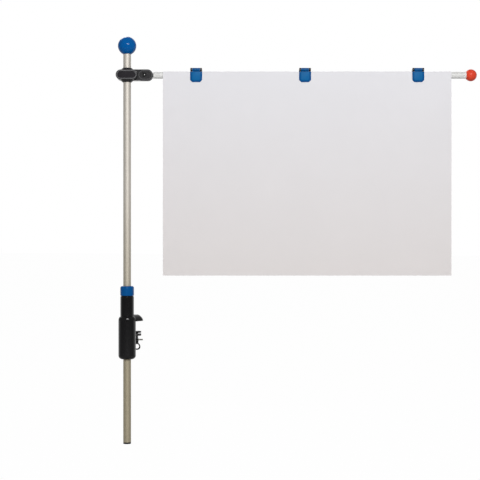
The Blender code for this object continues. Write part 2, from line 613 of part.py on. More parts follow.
def bracket_pieces():
    """The two bracket halves, the bare plate in front, the screws and the tilt pivot."""
    front = bracket_half("bracket_front_shell", -1.0, SHELL_FRONT)
    rear = bracket_half("bracket_rear_shell", 1.0, SHELL_REAR)
    inset = OVAL_HALF - RIM
    cut(front, extruded(stadium(-inset, inset, BRACKET_HALF - RIM), -SHELL_FRONT - REACH_PAST,
                        PLATE_SINK - SHELL_FRONT, "XZ"))
    edge = RIM + GAP
    back = PLATE_SINK - SHELL_FRONT - GAP
    piece("face_plate", extruded(stadium(edge - OVAL_HALF, OVAL_HALF - edge, BRACKET_HALF - edge),
                                 back - PLATE_THICKNESS, back, "XZ"), BLACK_PLASTIC, swivel_frame)

    neck = SHELL_REAR - SHELL_SCREW_HEAD_LENGTH
    tip = PLATE_SINK + SHELL_SCREW_COVER - SHELL_FRONT
    hole = SHELL_SCREW_RADIUS + GAP
    for number, reach in enumerate((-SHELL_SCREW_REACH, SHELL_SCREW_REACH), start=1):
        place = (reach, 0.0, 0.0)
        cut(front, cylinder(hole, tip - GAP, GAP, FEW_SIDES, ALONG_Y), place)
        cut(rear, turned([
            (0.0, -GAP), (hole, -GAP), (hole, neck - GAP), (SHELL_SCREW_HEAD + GAP, neck - GAP),
            (SHELL_SCREW_HEAD + GAP, SHELL_REAR + REACH_PAST), (0.0, SHELL_REAR + REACH_PAST),
        ], sides=FEW_SIDES, axis=ALONG_Y), place)
        piece(f"bracket_screw_{number}", turned([
            (0.0, tip), (SHELL_SCREW_RADIUS, tip), (SHELL_SCREW_RADIUS, neck), (SHELL_SCREW_HEAD, neck),
            (SHELL_SCREW_HEAD, SHELL_REAR), (0.0, SHELL_REAR),
        ], sides=FEW_SIDES, axis=ALONG_Y), STEEL, swivel_frame, place)

    place = (PIVOT_REACH, 0.0, 0.0)
    seat = CHEEK_OUT - CHEEK_RECESS + GAP
    end = seat + NUT_THICKNESS + PIVOT_END
    well = PIVOT_WELL_DEPTH + CHEEK_RECESS - CHEEK_OUT
    cut(front, cylinder(PIVOT_WELL_RADIUS, -CHEEK_OUT - REACH_PAST, well, ROD_SIDES, ALONG_Y), place)
    crown = well - GAP - PIVOT_HEAD_HEIGHT
    rise = PIVOT_HEAD_HEIGHT - PIVOT_HEAD_EDGE
    dome = (PIVOT_HEAD_RADIUS ** 2 + rise ** 2) / (2 * rise)
    slope = math.degrees(math.asin(PIVOT_HEAD_RADIUS / dome))
    piece("pivot_screw", turned([
        *arc((0.0, crown + dome), dome, -90.0, slope - 90.0, CORNER_STEPS), (PIVOT_HEAD_RADIUS, well - GAP),
        (PIVOT_RADIUS, well - GAP), (PIVOT_RADIUS, end), (0.0, end),
    ], sides=FEW_SIDES, axis=ALONG_Y), DARK_STEEL, swivel_frame, place)
    nut = piece("pivot_nut", cylinder(NUT_RADIUS, seat, seat + NUT_THICKNESS, NUT_SIDES, ALONG_Y),
                STEEL, swivel_frame, place)
    cut(nut, cylinder(PIVOT_RADIUS + GAP, 0.0, end + REACH_PAST, FEW_SIDES, ALONG_Y), place)


def arm_pieces():
    """The tongue in the bracket, the rod, its red end ball and the plan that hangs on it."""
    outline = [(-TONGUE_HALF, -TONGUE_HALF),
               *arc((TONGUE_END - TONGUE_HALF, 0.0), TONGUE_HALF, -90.0, 90.0, END_STEPS),
               *arc((0.0, 0.0), TONGUE_HALF, 90.0, 180.0, CORNER_STEPS)]
    tongue = piece("arm_tongue", extruded(outline, -TONGUE_THICKNESS / 2, TONGUE_THICKNESS / 2, "XZ"),
                   BLACK_PLASTIC, tilt_frame)
    join(tongue, cylinder(ROD_INSIDE - GAP, TONGUE_END / 2, TONGUE_END + TENON_LENGTH, FEW_SIDES, ALONG_X))
    cut(tongue, cylinder(PIVOT_RADIUS + GAP, -TONGUE_THICKNESS, TONGUE_THICKNESS, FEW_SIDES, ALONG_Y))
    piece("arm_rod", turned([
        (ROD_INSIDE, ROD_START), (ROD_RADIUS, ROD_START), (ROD_RADIUS, ROD_END), (ROD_INSIDE, ROD_END),
    ], closed=True, sides=ROD_SIDES, axis=ALONG_X), ALUMINIUM, tilt_frame)
    socket = ROD_RADIUS + GAP
    mouth = math.degrees(math.acos(socket / END_BALL_RADIUS))
    piece("end_ball", turned([
        *reversed(arc((0.0, END_BALL_PLACE), END_BALL_RADIUS, -mouth, 90.0, BALL_STEPS)),
        (socket, ROD_END + GAP), (0.0, ROD_END + GAP),
    ], sides=ROD_SIDES, axis=ALONG_X), RED_PLASTIC, tilt_frame)
    low = SHEET_RISE - SHEET_HEIGHT
    piece("plan_sheet", extruded(
        [(SHEET_LEFT, low), (SHEET_RIGHT, low), (SHEET_RIGHT, SHEET_RISE), (SHEET_LEFT, SHEET_RISE)],
        SHEET_FRONT, SHEET_BACK, "XZ",
    ), PAPER, tilt_frame)


def clip_saddle(name, carrier):
    """The part of a clip that grips the rod, with a lug at each end for the hinge pin."""
    section = arc((0.0, 0.0), SADDLE_OUTSIDE, SADDLE_FROM, SADDLE_TO, END_STEPS)
    section += arc((0.0, 0.0), SADDLE_INSIDE, SADDLE_TO, SADDLE_FROM, END_STEPS)
    saddle = piece(name, extruded(section, -CLIP_HALF, CLIP_HALF, "YZ"), BLACK_PLASTIC, carrier)
    hinge = (-HINGE_FORWARD, HINGE_RISE)
    middle = (SADDLE_INSIDE + SADDLE_OUTSIDE) / 2
    throat = arc((0.0, 0.0), middle, SADDLE_TO, LUG_ROOT, CORNER_STEPS)
    lug = arc(hinge, BARREL_RADIUS, LUG_FROM, LUG_TO, END_STEPS) + throat
    inner = BARREL_HALF + GAP
    outer = CLIP_HALF - LUG_SET_IN
    for low, high in ((-outer, -inner), (inner, outer)):
        join(saddle, extruded(lug, low, high, "YZ"))
    far = CLIP_HALF + REACH_PAST
    cut(saddle, cylinder(HINGE_PIN_RADIUS + GAP, -far, far, FEW_SIDES, ALONG_X), (0.0, *hinge))


def clip_flap(name, carrier):
    """The sprung flap that presses the plan on the rod; its carrier is on the hinge."""
    drop = FLAP_DROP + HINGE_RISE
    back = SHEET_FRONT - GAP + HINGE_FORWARD
    front = back - FLAP_THICKNESS
    shoulder = -BARREL_RADIUS - 2 * GAP
    right = [(CLIP_HALF - FLAP_CORNER, -drop), (CLIP_HALF, FLAP_CORNER - drop), (CLIP_HALF, shoulder),
             (BARREL_HALF - GAP, shoulder), (BARREL_HALF - GAP, 0.0)]
    outline = right + [(-x, z) for x, z in reversed(right)]
    flap = piece(name, extruded(outline, front, back, "XZ"), BLUE_PLASTIC, carrier)
    join(flap, cylinder(BARREL_RADIUS, -BARREL_HALF, BARREL_HALF, ROD_SIDES, ALONG_X))
    far = BARREL_HALF + REACH_PAST
    cut(flap, cylinder(HINGE_PIN_RADIUS + GAP, -far, far, FEW_SIDES, ALONG_X))
    room = SPRING_LENGTH / 2 + SPRING_WIRE + POCKET_MARGIN
    mouth = BARREL_RADIUS + REACH_PAST
    pocket = [(mouth, -POCKET_RADIUS), (mouth, POCKET_RADIUS),
              *arc((0.0, 0.0), POCKET_RADIUS, 90.0, 270.0, END_STEPS)]
    cut(flap, extruded(pocket, -room, room, "YZ"))


def spring_route():
    """Points along a clip's torsion spring: its turns about the hinge, and a straight leg at each end."""
    count = SPRING_TURNS * SPRING_POINTS
    leg = Vector((0.0, 0.0, 2 * SPRING_WIRE))
    turns = []
    for step in range(count + 1):
        angle = 2 * math.pi * step / SPRING_POINTS
        along = SPRING_LENGTH * (step / count - 0.5)
        turns.append(Vector((along, SPRING_RADIUS * math.cos(angle), SPRING_RADIUS * math.sin(angle))))
    return [turns[0] - leg, *turns, turns[-1] + leg]


def least_gap(route):
    """The least clear distance between parts of a spring that lie half a turn or more apart along it."""
    apart = SPRING_POINTS // 2
    spans = [(far - near).length for step, near in enumerate(route) for far in route[step + apart:]]
    return min(spans) - 2 * SPRING_WIRE


def clip_spring(name, carrier):
    """The torsion spring wound round a clip's hinge pin."""
    route = spring_route()
    curve = bpy.data.curves.new(name, "CURVE")
    curve.dimensions = "3D"
    curve.bevel_depth = SPRING_WIRE
    curve.bevel_resolution = 1
    curve.use_fill_caps = True
    path = curve.splines.new("POLY")
    path.points.add(len(route) - 1)
    for point, place in zip(path.points, route):
        point.co = (*place, 1.0)
    curve.materials.append(STEEL)
    made = bpy.data.objects.new(name, curve)
    bpy.context.scene.collection.objects.link(made)
    made.parent = carrier


def clip_pieces():
    """The clips along the rod: saddle, flap, hinge pin and spring each."""
    for number, place in enumerate(CLIP_PLACES, start=1):
        carrier = frame(f"clip_frame_{number}", tilt_frame, (place, 0.0, 0.0))
        hinge = frame(f"flap_frame_{number}", carrier, (0.0, -HINGE_FORWARD, HINGE_RISE))
        clip_saddle(f"clip_saddle_{number}", carrier)
        clip_flap(f"clip_flap_{number}", hinge)
        piece(f"clip_pin_{number}", cylinder(HINGE_PIN_RADIUS, -CLIP_HALF, CLIP_HALF, FEW_SIDES, ALONG_X),
              DARK_STEEL, hinge)
        clip_spring(f"clip_spring_{number}", hinge)


clamp_pieces()
collet_and_collar()
jaw_pieces()
mast_pieces()
sleeve_pieces()
bracket_pieces()
arm_pieces()
clip_pieces()
print("least gap between the turns of a spring, m:", round(least_gap(spring_route()), 6))
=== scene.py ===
"""Looks of the clamp-on plan holder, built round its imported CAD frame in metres."""

import json
import math

import bmesh
import bpy
from mathutils import Matrix, Vector

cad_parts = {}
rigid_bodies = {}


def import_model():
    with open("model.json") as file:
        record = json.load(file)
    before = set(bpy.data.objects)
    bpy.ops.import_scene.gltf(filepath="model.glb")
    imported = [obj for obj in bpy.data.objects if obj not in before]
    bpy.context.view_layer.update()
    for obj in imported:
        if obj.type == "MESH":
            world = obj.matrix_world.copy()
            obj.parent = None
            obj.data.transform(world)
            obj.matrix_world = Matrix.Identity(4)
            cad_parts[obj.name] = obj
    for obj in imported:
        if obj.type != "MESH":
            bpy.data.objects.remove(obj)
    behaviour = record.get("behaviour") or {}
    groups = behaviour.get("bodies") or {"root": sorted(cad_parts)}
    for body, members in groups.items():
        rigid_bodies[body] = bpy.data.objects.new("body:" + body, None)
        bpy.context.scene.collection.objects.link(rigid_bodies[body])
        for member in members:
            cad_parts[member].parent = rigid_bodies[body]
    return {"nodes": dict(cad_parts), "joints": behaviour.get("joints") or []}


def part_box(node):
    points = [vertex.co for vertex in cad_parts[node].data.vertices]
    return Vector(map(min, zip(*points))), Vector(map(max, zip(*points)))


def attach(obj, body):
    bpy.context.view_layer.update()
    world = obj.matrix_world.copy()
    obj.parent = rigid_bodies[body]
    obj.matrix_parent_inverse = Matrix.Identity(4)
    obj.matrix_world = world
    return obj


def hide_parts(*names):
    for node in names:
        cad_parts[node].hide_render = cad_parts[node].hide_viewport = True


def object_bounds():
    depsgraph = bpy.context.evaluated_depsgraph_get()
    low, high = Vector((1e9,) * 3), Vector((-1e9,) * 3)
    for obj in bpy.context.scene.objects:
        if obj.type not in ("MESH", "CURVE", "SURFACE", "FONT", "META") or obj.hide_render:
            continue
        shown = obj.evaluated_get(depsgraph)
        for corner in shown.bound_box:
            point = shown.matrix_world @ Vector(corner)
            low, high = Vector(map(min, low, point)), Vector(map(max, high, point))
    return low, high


for item in list(bpy.data.objects):
    bpy.data.objects.remove(item, do_unlink=True)
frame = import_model()
cad_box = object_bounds()

# Studio: a plain pale floor and a white surround, with the viewer square to the arm.
# A wide soft lamp above the viewer gives the highlights and a weaker one lights the back.
# The arm's own frame has X along the rod, Y away from the viewer and Z up.


class Signal:
    """A shader socket that can stand in a sum, so that a finish reads as a formula."""

    def __init__(self, tree, socket=None):
        self.tree = tree
        self.socket = socket

    def node(self, kind, settings=None, inputs=None, output=0):
        """Add a node: its settings first, then the values or links of its sockets."""
        made = self.tree.nodes.new(kind)
        for name, value in (settings or {}).items():
            setattr(made, name, value)
        self.fill(made.inputs, inputs or {})
        return Signal(self.tree, made.outputs[output])

    def fill(self, sockets, values):
        """Give some sockets their values or links."""
        for name, value in values.items():
            self.feed(sockets[name], value)

    def feed(self, socket, value):
        """Link a signal to a socket, or set the socket's own value."""
        if isinstance(value, Signal):
            self.tree.links.new(value.socket, socket)
        else:
            socket.default_value = value

    def blend(self, factor, first, second):
        """Mix two colours."""
        return self.node("ShaderNodeMix", {"data_type": "RGBA"}, {0: factor, 6: first, 7: second}, output=2)

    def noise(self, coords, scale, detail):
        """Soft noise between 0 and 1; scale is in waves a metre."""
        return self.node("ShaderNodeTexNoise", None, {"Vector": coords, "Scale": scale, "Detail": detail})

    def ramp(self, value, low, high, shape="SMOOTHSTEP"):
        """Where a value lies between two others, from 0 to 1."""
        return self.node(
            "ShaderNodeMapRange", {"interpolation_type": shape},
            {"Value": value, "From Min": low, "From Max": high},
        )

    def rise(self, coords, low, high):
        """How far up a point lies between two heights, from 0 to 1."""
        height = self.node("ShaderNodeSeparateXYZ", None, {"Vector": coords}, output="Z")
        return self.ramp(height, low, high, "LINEAR")

    def bump(self, height, strength, distance):
        """A normal that follows a height."""
        return self.node(
            "ShaderNodeBump", None, {"Strength": strength, "Distance": distance, "Height": height},
        )

    def maths(self, operation, first, second):
        """One Math node on two signals or numbers."""
        return self.node("ShaderNodeMath", {"operation": operation}, {0: first, 1: second})

    def __add__(self, other):
        return self.maths("ADD", self, other)

    def __mul__(self, other):
        return self.maths("MULTIPLY", self, other)

    def __sub__(self, other):
        return self.maths("SUBTRACT", self, other)

    def __rsub__(self, other):
        return self.maths("SUBTRACT", other, self)

    __radd__ = __add__
    __rmul__ = __mul__


joints = {joint["name"]: joint for joint in frame["joints"]}
upward = Vector((0.0, 0.0, 1.0))
arm_along = Vector(joints["clip_1_slide"]["axis"]).normalized()
arm_back = upward.cross(arm_along)
arm_turn = Matrix((arm_along, arm_back, upward)).transposed().to_4x4()
arm_place = Matrix.Translation(joints["arm_tilt"]["pos_m"]) @ arm_turn


def light_paths(start):
    """Two signals: a ray from the camera, and one off a mirror or through glass."""
    rays = start.node("ShaderNodeLightPath").socket.node.outputs
    camera_ray, glossy_ray, clear_ray = [
        Signal(start.tree, rays[f"Is {kind} Ray"]) for kind in ("Camera", "Glossy", "Transmission")
    ]
    return camera_ray, glossy_ray + clear_ray


def behind(start, coords, span):
    """How far a place or a heading lies behind the arm, from 0 to 1."""
    depth = start.node(
        "ShaderNodeVectorMath", {"operation": "DOT_PRODUCT"}, {0: coords, 1: arm_back}, output="Value",
    )
    return start.ramp(depth, *span)


def new_finish(name):
    """An empty finish: its material, a signal to build from, its coordinates and its shader's sockets."""
    material = bpy.data.materials.new(name)
    material.use_nodes = True
    start = Signal(material.node_tree)
    coords = start.node("ShaderNodeTexCoord", output="Object")
    return material, start, coords, start.tree.nodes["Principled BSDF"].inputs


def add_object(name, data):
    """Put a mesh, a lamp or a camera in the scene."""
    made = bpy.data.objects.new(name, data)
    bpy.context.scene.collection.objects.link(made)
    return made


def as_object(bm, name):
    """Turn a bmesh into an object in the scene."""
    mesh = bpy.data.meshes.new(name)
    bm.to_mesh(mesh)
    bm.free()
    return add_object(name, mesh)


white = (1.0, 1.0, 1.0, 1.0)
room_level = 0.34
backdrop_span = (0.6, 0.95)
world = bpy.data.worlds.new("studio")
bpy.context.scene.world = world
world.use_nodes = True
sky = Signal(world.node_tree)
camera_ray, mirror_ray = light_paths(sky)
heading = sky.node("ShaderNodeTexCoord", output="Generated")
lit = sky.maths("MINIMUM", camera_ray + mirror_ray * behind(sky, heading, backdrop_span), 1.0)
background = world.node_tree.nodes["Background"]
sky.fill(background.inputs, {"Color": white, "Strength": room_level + (1.0 - room_level) * lit})

floor_size = 60.0
floor_grey = (0.62, 0.62, 0.62, 1.0)
floor_roughness = 0.9
floor_glow = 0.985
floor_mirror_glow = 0.95
floor_white_span = (0.1, 1.5)
floor_gap = 0.0005
bm = bmesh.new()
bmesh.ops.create_grid(bm, x_segments=1, y_segments=1, size=floor_size / 2)
bmesh.ops.translate(bm, verts=bm.verts, vec=(0.0, 0.0, cad_box[0].z - floor_gap))
floor = as_object(bm, "floor")
floor_finish, ground, spot, sockets = new_finish("pale_floor")
ground.fill(sockets, {"Base Color": floor_grey, "Roughness": floor_roughness})
camera_ray, mirror_ray = light_paths(ground)
glow = ground.node("ShaderNodeEmission", None, {"Color": white, "Strength": 1.0})
floor_nodes = floor_finish.node_tree.nodes
surface = ground.node("ShaderNodeMixShader", None, {
    0: floor_glow * camera_ray + floor_mirror_glow * mirror_ray * behind(ground, spot, floor_white_span),
    1: Signal(ground.tree, floor_nodes["Principled BSDF"].outputs["BSDF"]), 2: glow,
})
ground.feed(floor_nodes["Material Output"].inputs["Surface"], surface)
floor.data.materials.append(floor_finish)

# Each lamp's place is in degrees to the viewer's right and above the arm.
lamp_distance = 2.8
lamps = {
    "key_lamp": {"right": 12.0, "rise": 20.0, "width": 1.3, "height": 0.5, "power": 55.0},
    "back_lamp": {"right": 200.0, "rise": 40.0, "width": 1.3, "height": 1.3, "power": 24.0},
}
for name, lamp in lamps.items():
    swing = math.radians(lamp["right"])
    tilt = math.radians(lamp["rise"])
    level = arm_along * math.sin(swing) - arm_back * math.cos(swing)
    toward = level * math.cos(tilt) + upward * math.sin(tilt)
    lamp_data = bpy.data.lights.new(name, "AREA")
    lamp_data.shape = "RECTANGLE"
    lamp_data.size = lamp["width"]
    lamp_data.size_y = lamp["height"]
    lamp_data.energy = lamp["power"]
    lamp_object = add_object(name, lamp_data)
    lamp_object.location = arm_place.translation + toward * lamp_distance
    lamp_object.rotation_euler = toward.to_track_quat("Z", "Y").to_euler()

# The camera stands square to the arm, level with the middle of the part.
camera_distance = 2.6
camera_along = 0.197
camera_height = 0.168
lens_per_metre = 36.33
camera_data = bpy.data.cameras.new("camera")
camera_data.sensor_width = 36.0
camera_data.lens = lens_per_metre * camera_distance
camera = add_object("camera", camera_data)
camera.location = arm_place @ Vector((camera_along, -camera_distance, 0.0))
camera.location.z = camera_height
camera.rotation_euler = (math.radians(90.0), 0.0, math.atan2(arm_along.y, arm_along.x))
bpy.context.scene.camera = camera
bpy.context.scene.view_settings.view_transform = "Standard"

# Mast: a drawn aluminium tube, cut to length and satin anodised to a warm champagne tone.
# It stands in the clamp's collet, and the fine lines left by the drawing die run along it.
# Below the clamp's foot it takes a deeper, warmer tone, a painted shade that fades out above the collar.

merge_distance = 0.0000005
sharp_angle = math.radians(35.0)
tube_deburr = 0.0003
mast_place = Matrix.Translation((*joints["mast_turn"]["pos_m"][:2], 0.0))


def extent(node, place):
    """Lowest and highest corner of a CAD node, measured in one of the part's own places."""
    into = place.inverted()
    points = [into @ vert.co for vert in frame["nodes"][node].data.vertices]
    return [Vector([pick(values) for values in zip(*points)]) for pick in (min, max)]


def cleaned(bm):
    """Merge the points that meet, and turn every face outwards."""
    bmesh.ops.remove_doubles(bm, verts=bm.verts, dist=merge_distance)
    bmesh.ops.recalc_face_normals(bm, faces=bm.faces)
    return bm


def turned(profile, sides):
    """Spin (radius, height) points about Z; a profile that starts off the axis returns to its start."""
    bm = bmesh.new()
    points = [bm.verts.new((radius, 0.0, height)) for radius, height in profile]
    pairs = list(zip(points, points[1:]))
    if profile[0][0] > 0.0:
        pairs.append((points[-1], points[0]))
    edges = [bm.edges.new(pair) for pair in pairs]
    bmesh.ops.spin(
        bm, geom=points + edges, cent=(0.0, 0.0, 0.0), axis=(0.0, 0.0, 1.0),
        angle=2 * math.pi, steps=sides, use_merge=True,
    )
    return cleaned(bm)


def soften(bm, width, segments=3):
    """Round every sharp edge by a small radius, and mark the rounded faces for a lighter colour: edge wear
    and painted highlight.
    """
    lighter_mark = bm.faces.layers.float.get("lighter_mark") or bm.faces.layers.float.new("lighter_mark")
    sharp = [edge for edge in bm.edges if edge.is_manifold and edge.calc_face_angle() > sharp_angle]
    rounded = bmesh.ops.bevel(
        bm, geom=sharp, offset=width, offset_type="OFFSET", segments=segments, profile=0.5,
        affect="EDGES", material=-1,
    )
    for face in rounded["faces"]:
        face[lighter_mark] = 1.0
    return bm


def pipe(radius, wall, low, high, sides):
    """A plain tube about Z, with the edges of its ends deburred."""
    bm = turned([(radius - wall, low), (radius, low), (radius, high), (radius - wall, high)], sides)
    return soften(bm, tube_deburr)


def placed(bm, matrix):
    """Move or turn a whole shape."""
    bmesh.ops.transform(bm, matrix=matrix, verts=bm.verts)
    return bm


def show(bm, name, finish, body, slot, place, *nodes):
    """Turn a bmesh into a shown piece that rides on a body and stands for CAD nodes."""
    piece = as_object(placed(bm, place), name)
    piece.data.shade_smooth()
    piece.data.set_sharp_from_angle(angle=sharp_angle)
    piece.data.materials.append(finish)
    piece.modifiers.new("even_normals", "WEIGHTED_NORMAL").keep_sharp = True
    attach(piece, body)
    if nodes:
        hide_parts(*nodes)
    return piece


def shade(colour, amount):
    """A lighter or darker tone of a colour."""
    return (*[min(1.0, amount * part) for part in colour], 1.0)


def mottled(start, factor, colour, dark, light):
    """A colour that a signal takes from a darker to a lighter tone."""
    return start.blend(factor, shade(colour, dark), shade(colour, light))


def anodised(name, colour, roughness, turn, streak, painted_shade_colour=None, painted_shade_span=None):
    """Satin anodised aluminium with drawing lines, and a painted shade in another tone below a span of
    heights.

    A streak is the size of a line along the three axes.
    """
    material, start, coords, sockets = new_finish(name)
    drawn = start.node(
        "ShaderNodeMapping", {"vector_type": "TEXTURE"},
        {"Vector": coords, "Rotation": turn, "Scale": streak},
    )
    lines = start.noise(drawn, scale=1.0, detail=3.0)
    clouds = start.noise(coords, scale=22.0, detail=2.0)
    uneven = 0.7 * lines + 0.3 * clouds
    tone = mottled(start, uneven, colour, dark=0.94, light=1.05)
    # Below the span the tube is painted a darker tone: painted shade.
    if painted_shade_colour:
        painted_shade_tone = mottled(start, uneven, painted_shade_colour, dark=0.94, light=1.05)
        tone = start.blend(start.rise(coords, *painted_shade_span), painted_shade_tone, tone)
    start.fill(sockets, {
        "Base Color": tone, "Roughness": (roughness - 0.05) + 0.06 * lines + 0.04 * clouds,
        "Metallic": 1.0, "Coat Weight": 0.8, "Coat Roughness": 0.45,
        "Normal": start.bump(lines, strength=0.05, distance=0.00002),
    })
    return material


champagne = (0.705, 0.668, 0.61)
# A darker, warmer tone for the mast's lower stretch: painted shade.
champagne_painted_shade = (0.49, 0.435, 0.315)
tube_sides = 96
tube_wall = 0.0015
line_length = 0.4
line_width = 0.0003
mast_low, mast_high = extent("mast_tube", mast_place)
mast_radius = mast_high.x
slide_down = -joints["mast_slide"]["range_m"][0]
mast_finish = anodised(
    "champagne_tube", champagne, roughness=0.7, turn=(0.0, 0.0, 0.0),
    streak=(line_width, line_width, line_length), painted_shade_colour=champagne_painted_shade,
    painted_shade_span=(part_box("clamp_body")[0].z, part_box("lock_collar")[1].z + slide_down),
)
mast = pipe(mast_radius, tube_wall, mast_low.z, mast_high.z, tube_sides)
show(mast, "mast_tube_drawn", mast_finish, "mast", "aluminium", mast_place, "mast_tube")

# Mast's end plug: a black moulded cap pressed into the lower end of the tube.
# Its rim is as wide as the tube and shows as a thin dark edge below it.

grain_depth = 0.00003


def moulded(name, colour, lighter_colour, roughness, grain, relief, gloss):
    """Moulded plastic: a fine mould grain, slightly uneven colour and gloss, and a lighter colour on marked
    faces, used for painted highlight and edge wear.
    """
    material, start, coords, sockets = new_finish(name)
    fine = start.noise(coords, scale=grain, detail=2.0)
    patches = start.noise(coords, scale=60.0, detail=3.0)
    lighter_mark = start.node("ShaderNodeAttribute", {"attribute_name": "lighter_mark"}, output="Fac")
    tone = mottled(start, patches, colour, dark=0.86, light=1.14)
    # Marked faces take the lighter colour: painted highlight on edges and rims, and the lit face of a clip
    # beside its painted shade.
    tone = start.blend(lighter_mark * (0.5 + 0.8 * patches), tone, shade(lighter_colour, 1.0))
    start.fill(sockets, {
        "Base Color": tone, "Roughness": (roughness - 0.06) + 0.08 * patches + 0.04 * fine,
        "Specular IOR Level": gloss, "Normal": start.bump(fine, relief, grain_depth),
    })
    return material


black = (0.0026, 0.0023, 0.0028)
# Rounded edges are a little lighter: edge wear with a faint painted highlight.
black_edge_wear_and_sheen = (0.012, 0.012, 0.013)
black_finish = moulded(
    "black_moulding", black, black_edge_wear_and_sheen, roughness=0.16, grain=1400.0, relief=0.05, gloss=0.32,
)
running_gap = 0.0003
plug_edge = 0.0006
plug_sides = 64
plug_low, plug_high = extent("mast_end_plug", mast_place)
plug_seat = mast_low.z - running_gap
plug_radius = mast_radius - tube_wall - running_gap
plug = turned([
    (0.0, plug_low.z), (mast_radius, plug_low.z), (mast_radius, plug_seat), (plug_radius, plug_seat),
    (plug_radius, plug_high.z), (0.0, plug_high.z),
], plug_sides)
soften(plug, plug_edge)
show(plug, "mast_plug_moulded", black_finish, "mast", "black_plastic", mast_place, "mast_end_plug")

# Ball: a solid blue ball moulded in glossy plastic and pushed on a stud in the mast's upper end.
# It marks the top of the mast and is the grip for lifting it.

ball_blue = (0.0004, 0.094, 0.33)
ball_finish = moulded("ball_blue", ball_blue, ball_blue, roughness=0.15, grain=900.0, relief=0.02, gloss=0.1)
ball_steps = 48
ball_lip = 0.0004


def arc(centre, radius, start, end, steps):
    """Points on an arc from one angle to another, in degrees."""
    angles = [math.radians(start + (end - start) * step / steps) for step in range(steps + 1)]
    return [(centre[0] + radius * math.cos(a), centre[1] + radius * math.sin(a)) for a in angles]


def ball_profile(radius, centre, mouth, roof):
    """Outline of a ball with a round socket: the socket's roof, its mouth, then over the crown."""
    mouth_angle = -math.degrees(math.acos(mouth / radius))
    outside = arc((0.0, centre), radius, mouth_angle, 90.0, ball_steps)[:-1]
    return [(0.0, roof), (mouth, roof), *outside, (0.0, centre + radius)]


ball_high = extent("ball_knob", mast_place)[1]
ball_radius = ball_high.x
ball_centre = ball_high.z - ball_radius
ball_mouth = mast_radius + ball_lip
ball = turned(ball_profile(ball_radius, ball_centre, ball_mouth, mast_high.z + ball_lip), tube_sides)
show(ball, "ball_knob_gloss", ball_finish, "mast", "blue_plastic", mast_place, "ball_knob")

# Clamp body: one black moulding with a thick lower barrel, a slimmer neck and a beak-shaped hook.
# A T slot in the back of the barrel guides the jaw, and a spigot on the neck carries the lock collar.

past = 0.001  # how far a cutter runs past a face


def extruded(points, travel):
    """A flat face through some points, extruded along a vector."""
    bm = bmesh.new()
    bm.faces.new([bm.verts.new(point) for point in points])
    grown = bmesh.ops.extrude_face_region(bm, geom=bm.faces[:])
    moved = [part for part in grown["geom"] if isinstance(part, bmesh.types.BMVert)]
    bmesh.ops.translate(bm, verts=moved, vec=travel)
    return cleaned(bm)


def upright(outline, low, high):
    """A flat outline in X and Y, extruded upwards."""
    return extruded([(x, y, low) for x, y in outline], (0.0, 0.0, high - low))


def both_sides(side):
    """Half an outline, closed by its mirror image."""
    return side + [(-x, y) for x, y in reversed(side)]


def combined(operation, bm, others):
    """Put closed shapes together one after another, each with an exact Boolean."""
    for other in others:
        held = [as_object(shape, "shape") for shape in (bm, other)]
        step = held[0].modifiers.new("step", "BOOLEAN")
        step.operation = operation
        step.solver = "EXACT"
        step.object = held[1]
        bm = bmesh.new()
        bm.from_object(held[0], bpy.context.evaluated_depsgraph_get())
        for item in held:
            bpy.data.objects.remove(item, do_unlink=True)
        bmesh.ops.remove_doubles(bm, verts=bm.verts, dist=merge_distance)
        bmesh.ops.dissolve_degenerate(bm, edges=bm.edges, dist=merge_distance)
    return bm


def joined(bm, *others):
    """A shape with others added to it."""
    return combined("UNION", bm, others)


def cut(bm, *others):
    """A shape with others taken out of it."""
    return combined("DIFFERENCE", bm, others)


body_low, body_high = extent("clamp_body", mast_place)
body_radius = body_high.x
body_top = 0.010
foot_round = 0.008
shoulder_rise = 0.009
shoulder_steps = 16
neck_radius = 0.0140
neck_top = 0.052
neck_edge = 0.0012
spigot_radius = 0.0123
shoulder = [
    (neck_radius + (body_radius - neck_radius) * out, body_top - shoulder_rise * (1.0 - up))
    for out, up in arc((0.0, 0.0), 1.0, 0.0, 90.0, shoulder_steps)
]
barrel = turned([
    (0.0, body_low.z),
    *arc((body_radius - foot_round, body_low.z + foot_round), foot_round, -90.0, 0.0, steps=14),
    *shoulder, *arc((neck_radius - neck_edge, neck_top - neck_edge), neck_edge, 0.0, 90.0, steps=4),
    (spigot_radius, neck_top), (spigot_radius, body_high.z), (0.0, body_high.z),
], tube_sides)

hook_half = body_radius - running_gap
hook_height = 0.013
hook_lip = 0.0018
hook_crown = 0.38
hook_tip = arc((0.0, body_high.y - hook_half), hook_half, 180.0, 0.0, steps=32)
hook = upright([(-hook_half, 0.0), *hook_tip, (hook_half, 0.0)], 0.0, hook_height)
crown = {vert for vert in hook.verts if vert.co.z > hook_height / 2}
rim = [edge for edge in hook.edges if crown.issuperset(edge.verts)]
bmesh.ops.bevel(
    hook, geom=[edge for edge in rim if max(vert.co.y for vert in edge.verts) > past],
    offset=hook_height - hook_lip, offset_type="OFFSET", segments=12, profile=hook_crown,
    affect="EDGES", material=-1,
)
barrel = joined(barrel, hook)

bush_high = extent("lower_guide_bush", mast_place)[1]
collet_low, collet_high = extent("collet", mast_place)
mast_bore = mast_radius + running_gap
bush_bore = bush_high.x + running_gap
bush_roof = bush_high.z + running_gap
collet_bore = collet_high.x + running_gap
collet_floor = collet_low.z - running_gap
bores = turned([
    (0.0, body_low.z - past), (bush_bore, body_low.z - past), (bush_bore, bush_roof), (mast_bore, bush_roof),
    (mast_bore, collet_floor), (collet_bore, collet_floor), (collet_bore, body_high.z + past),
    (0.0, body_high.z + past),
], tube_sides)

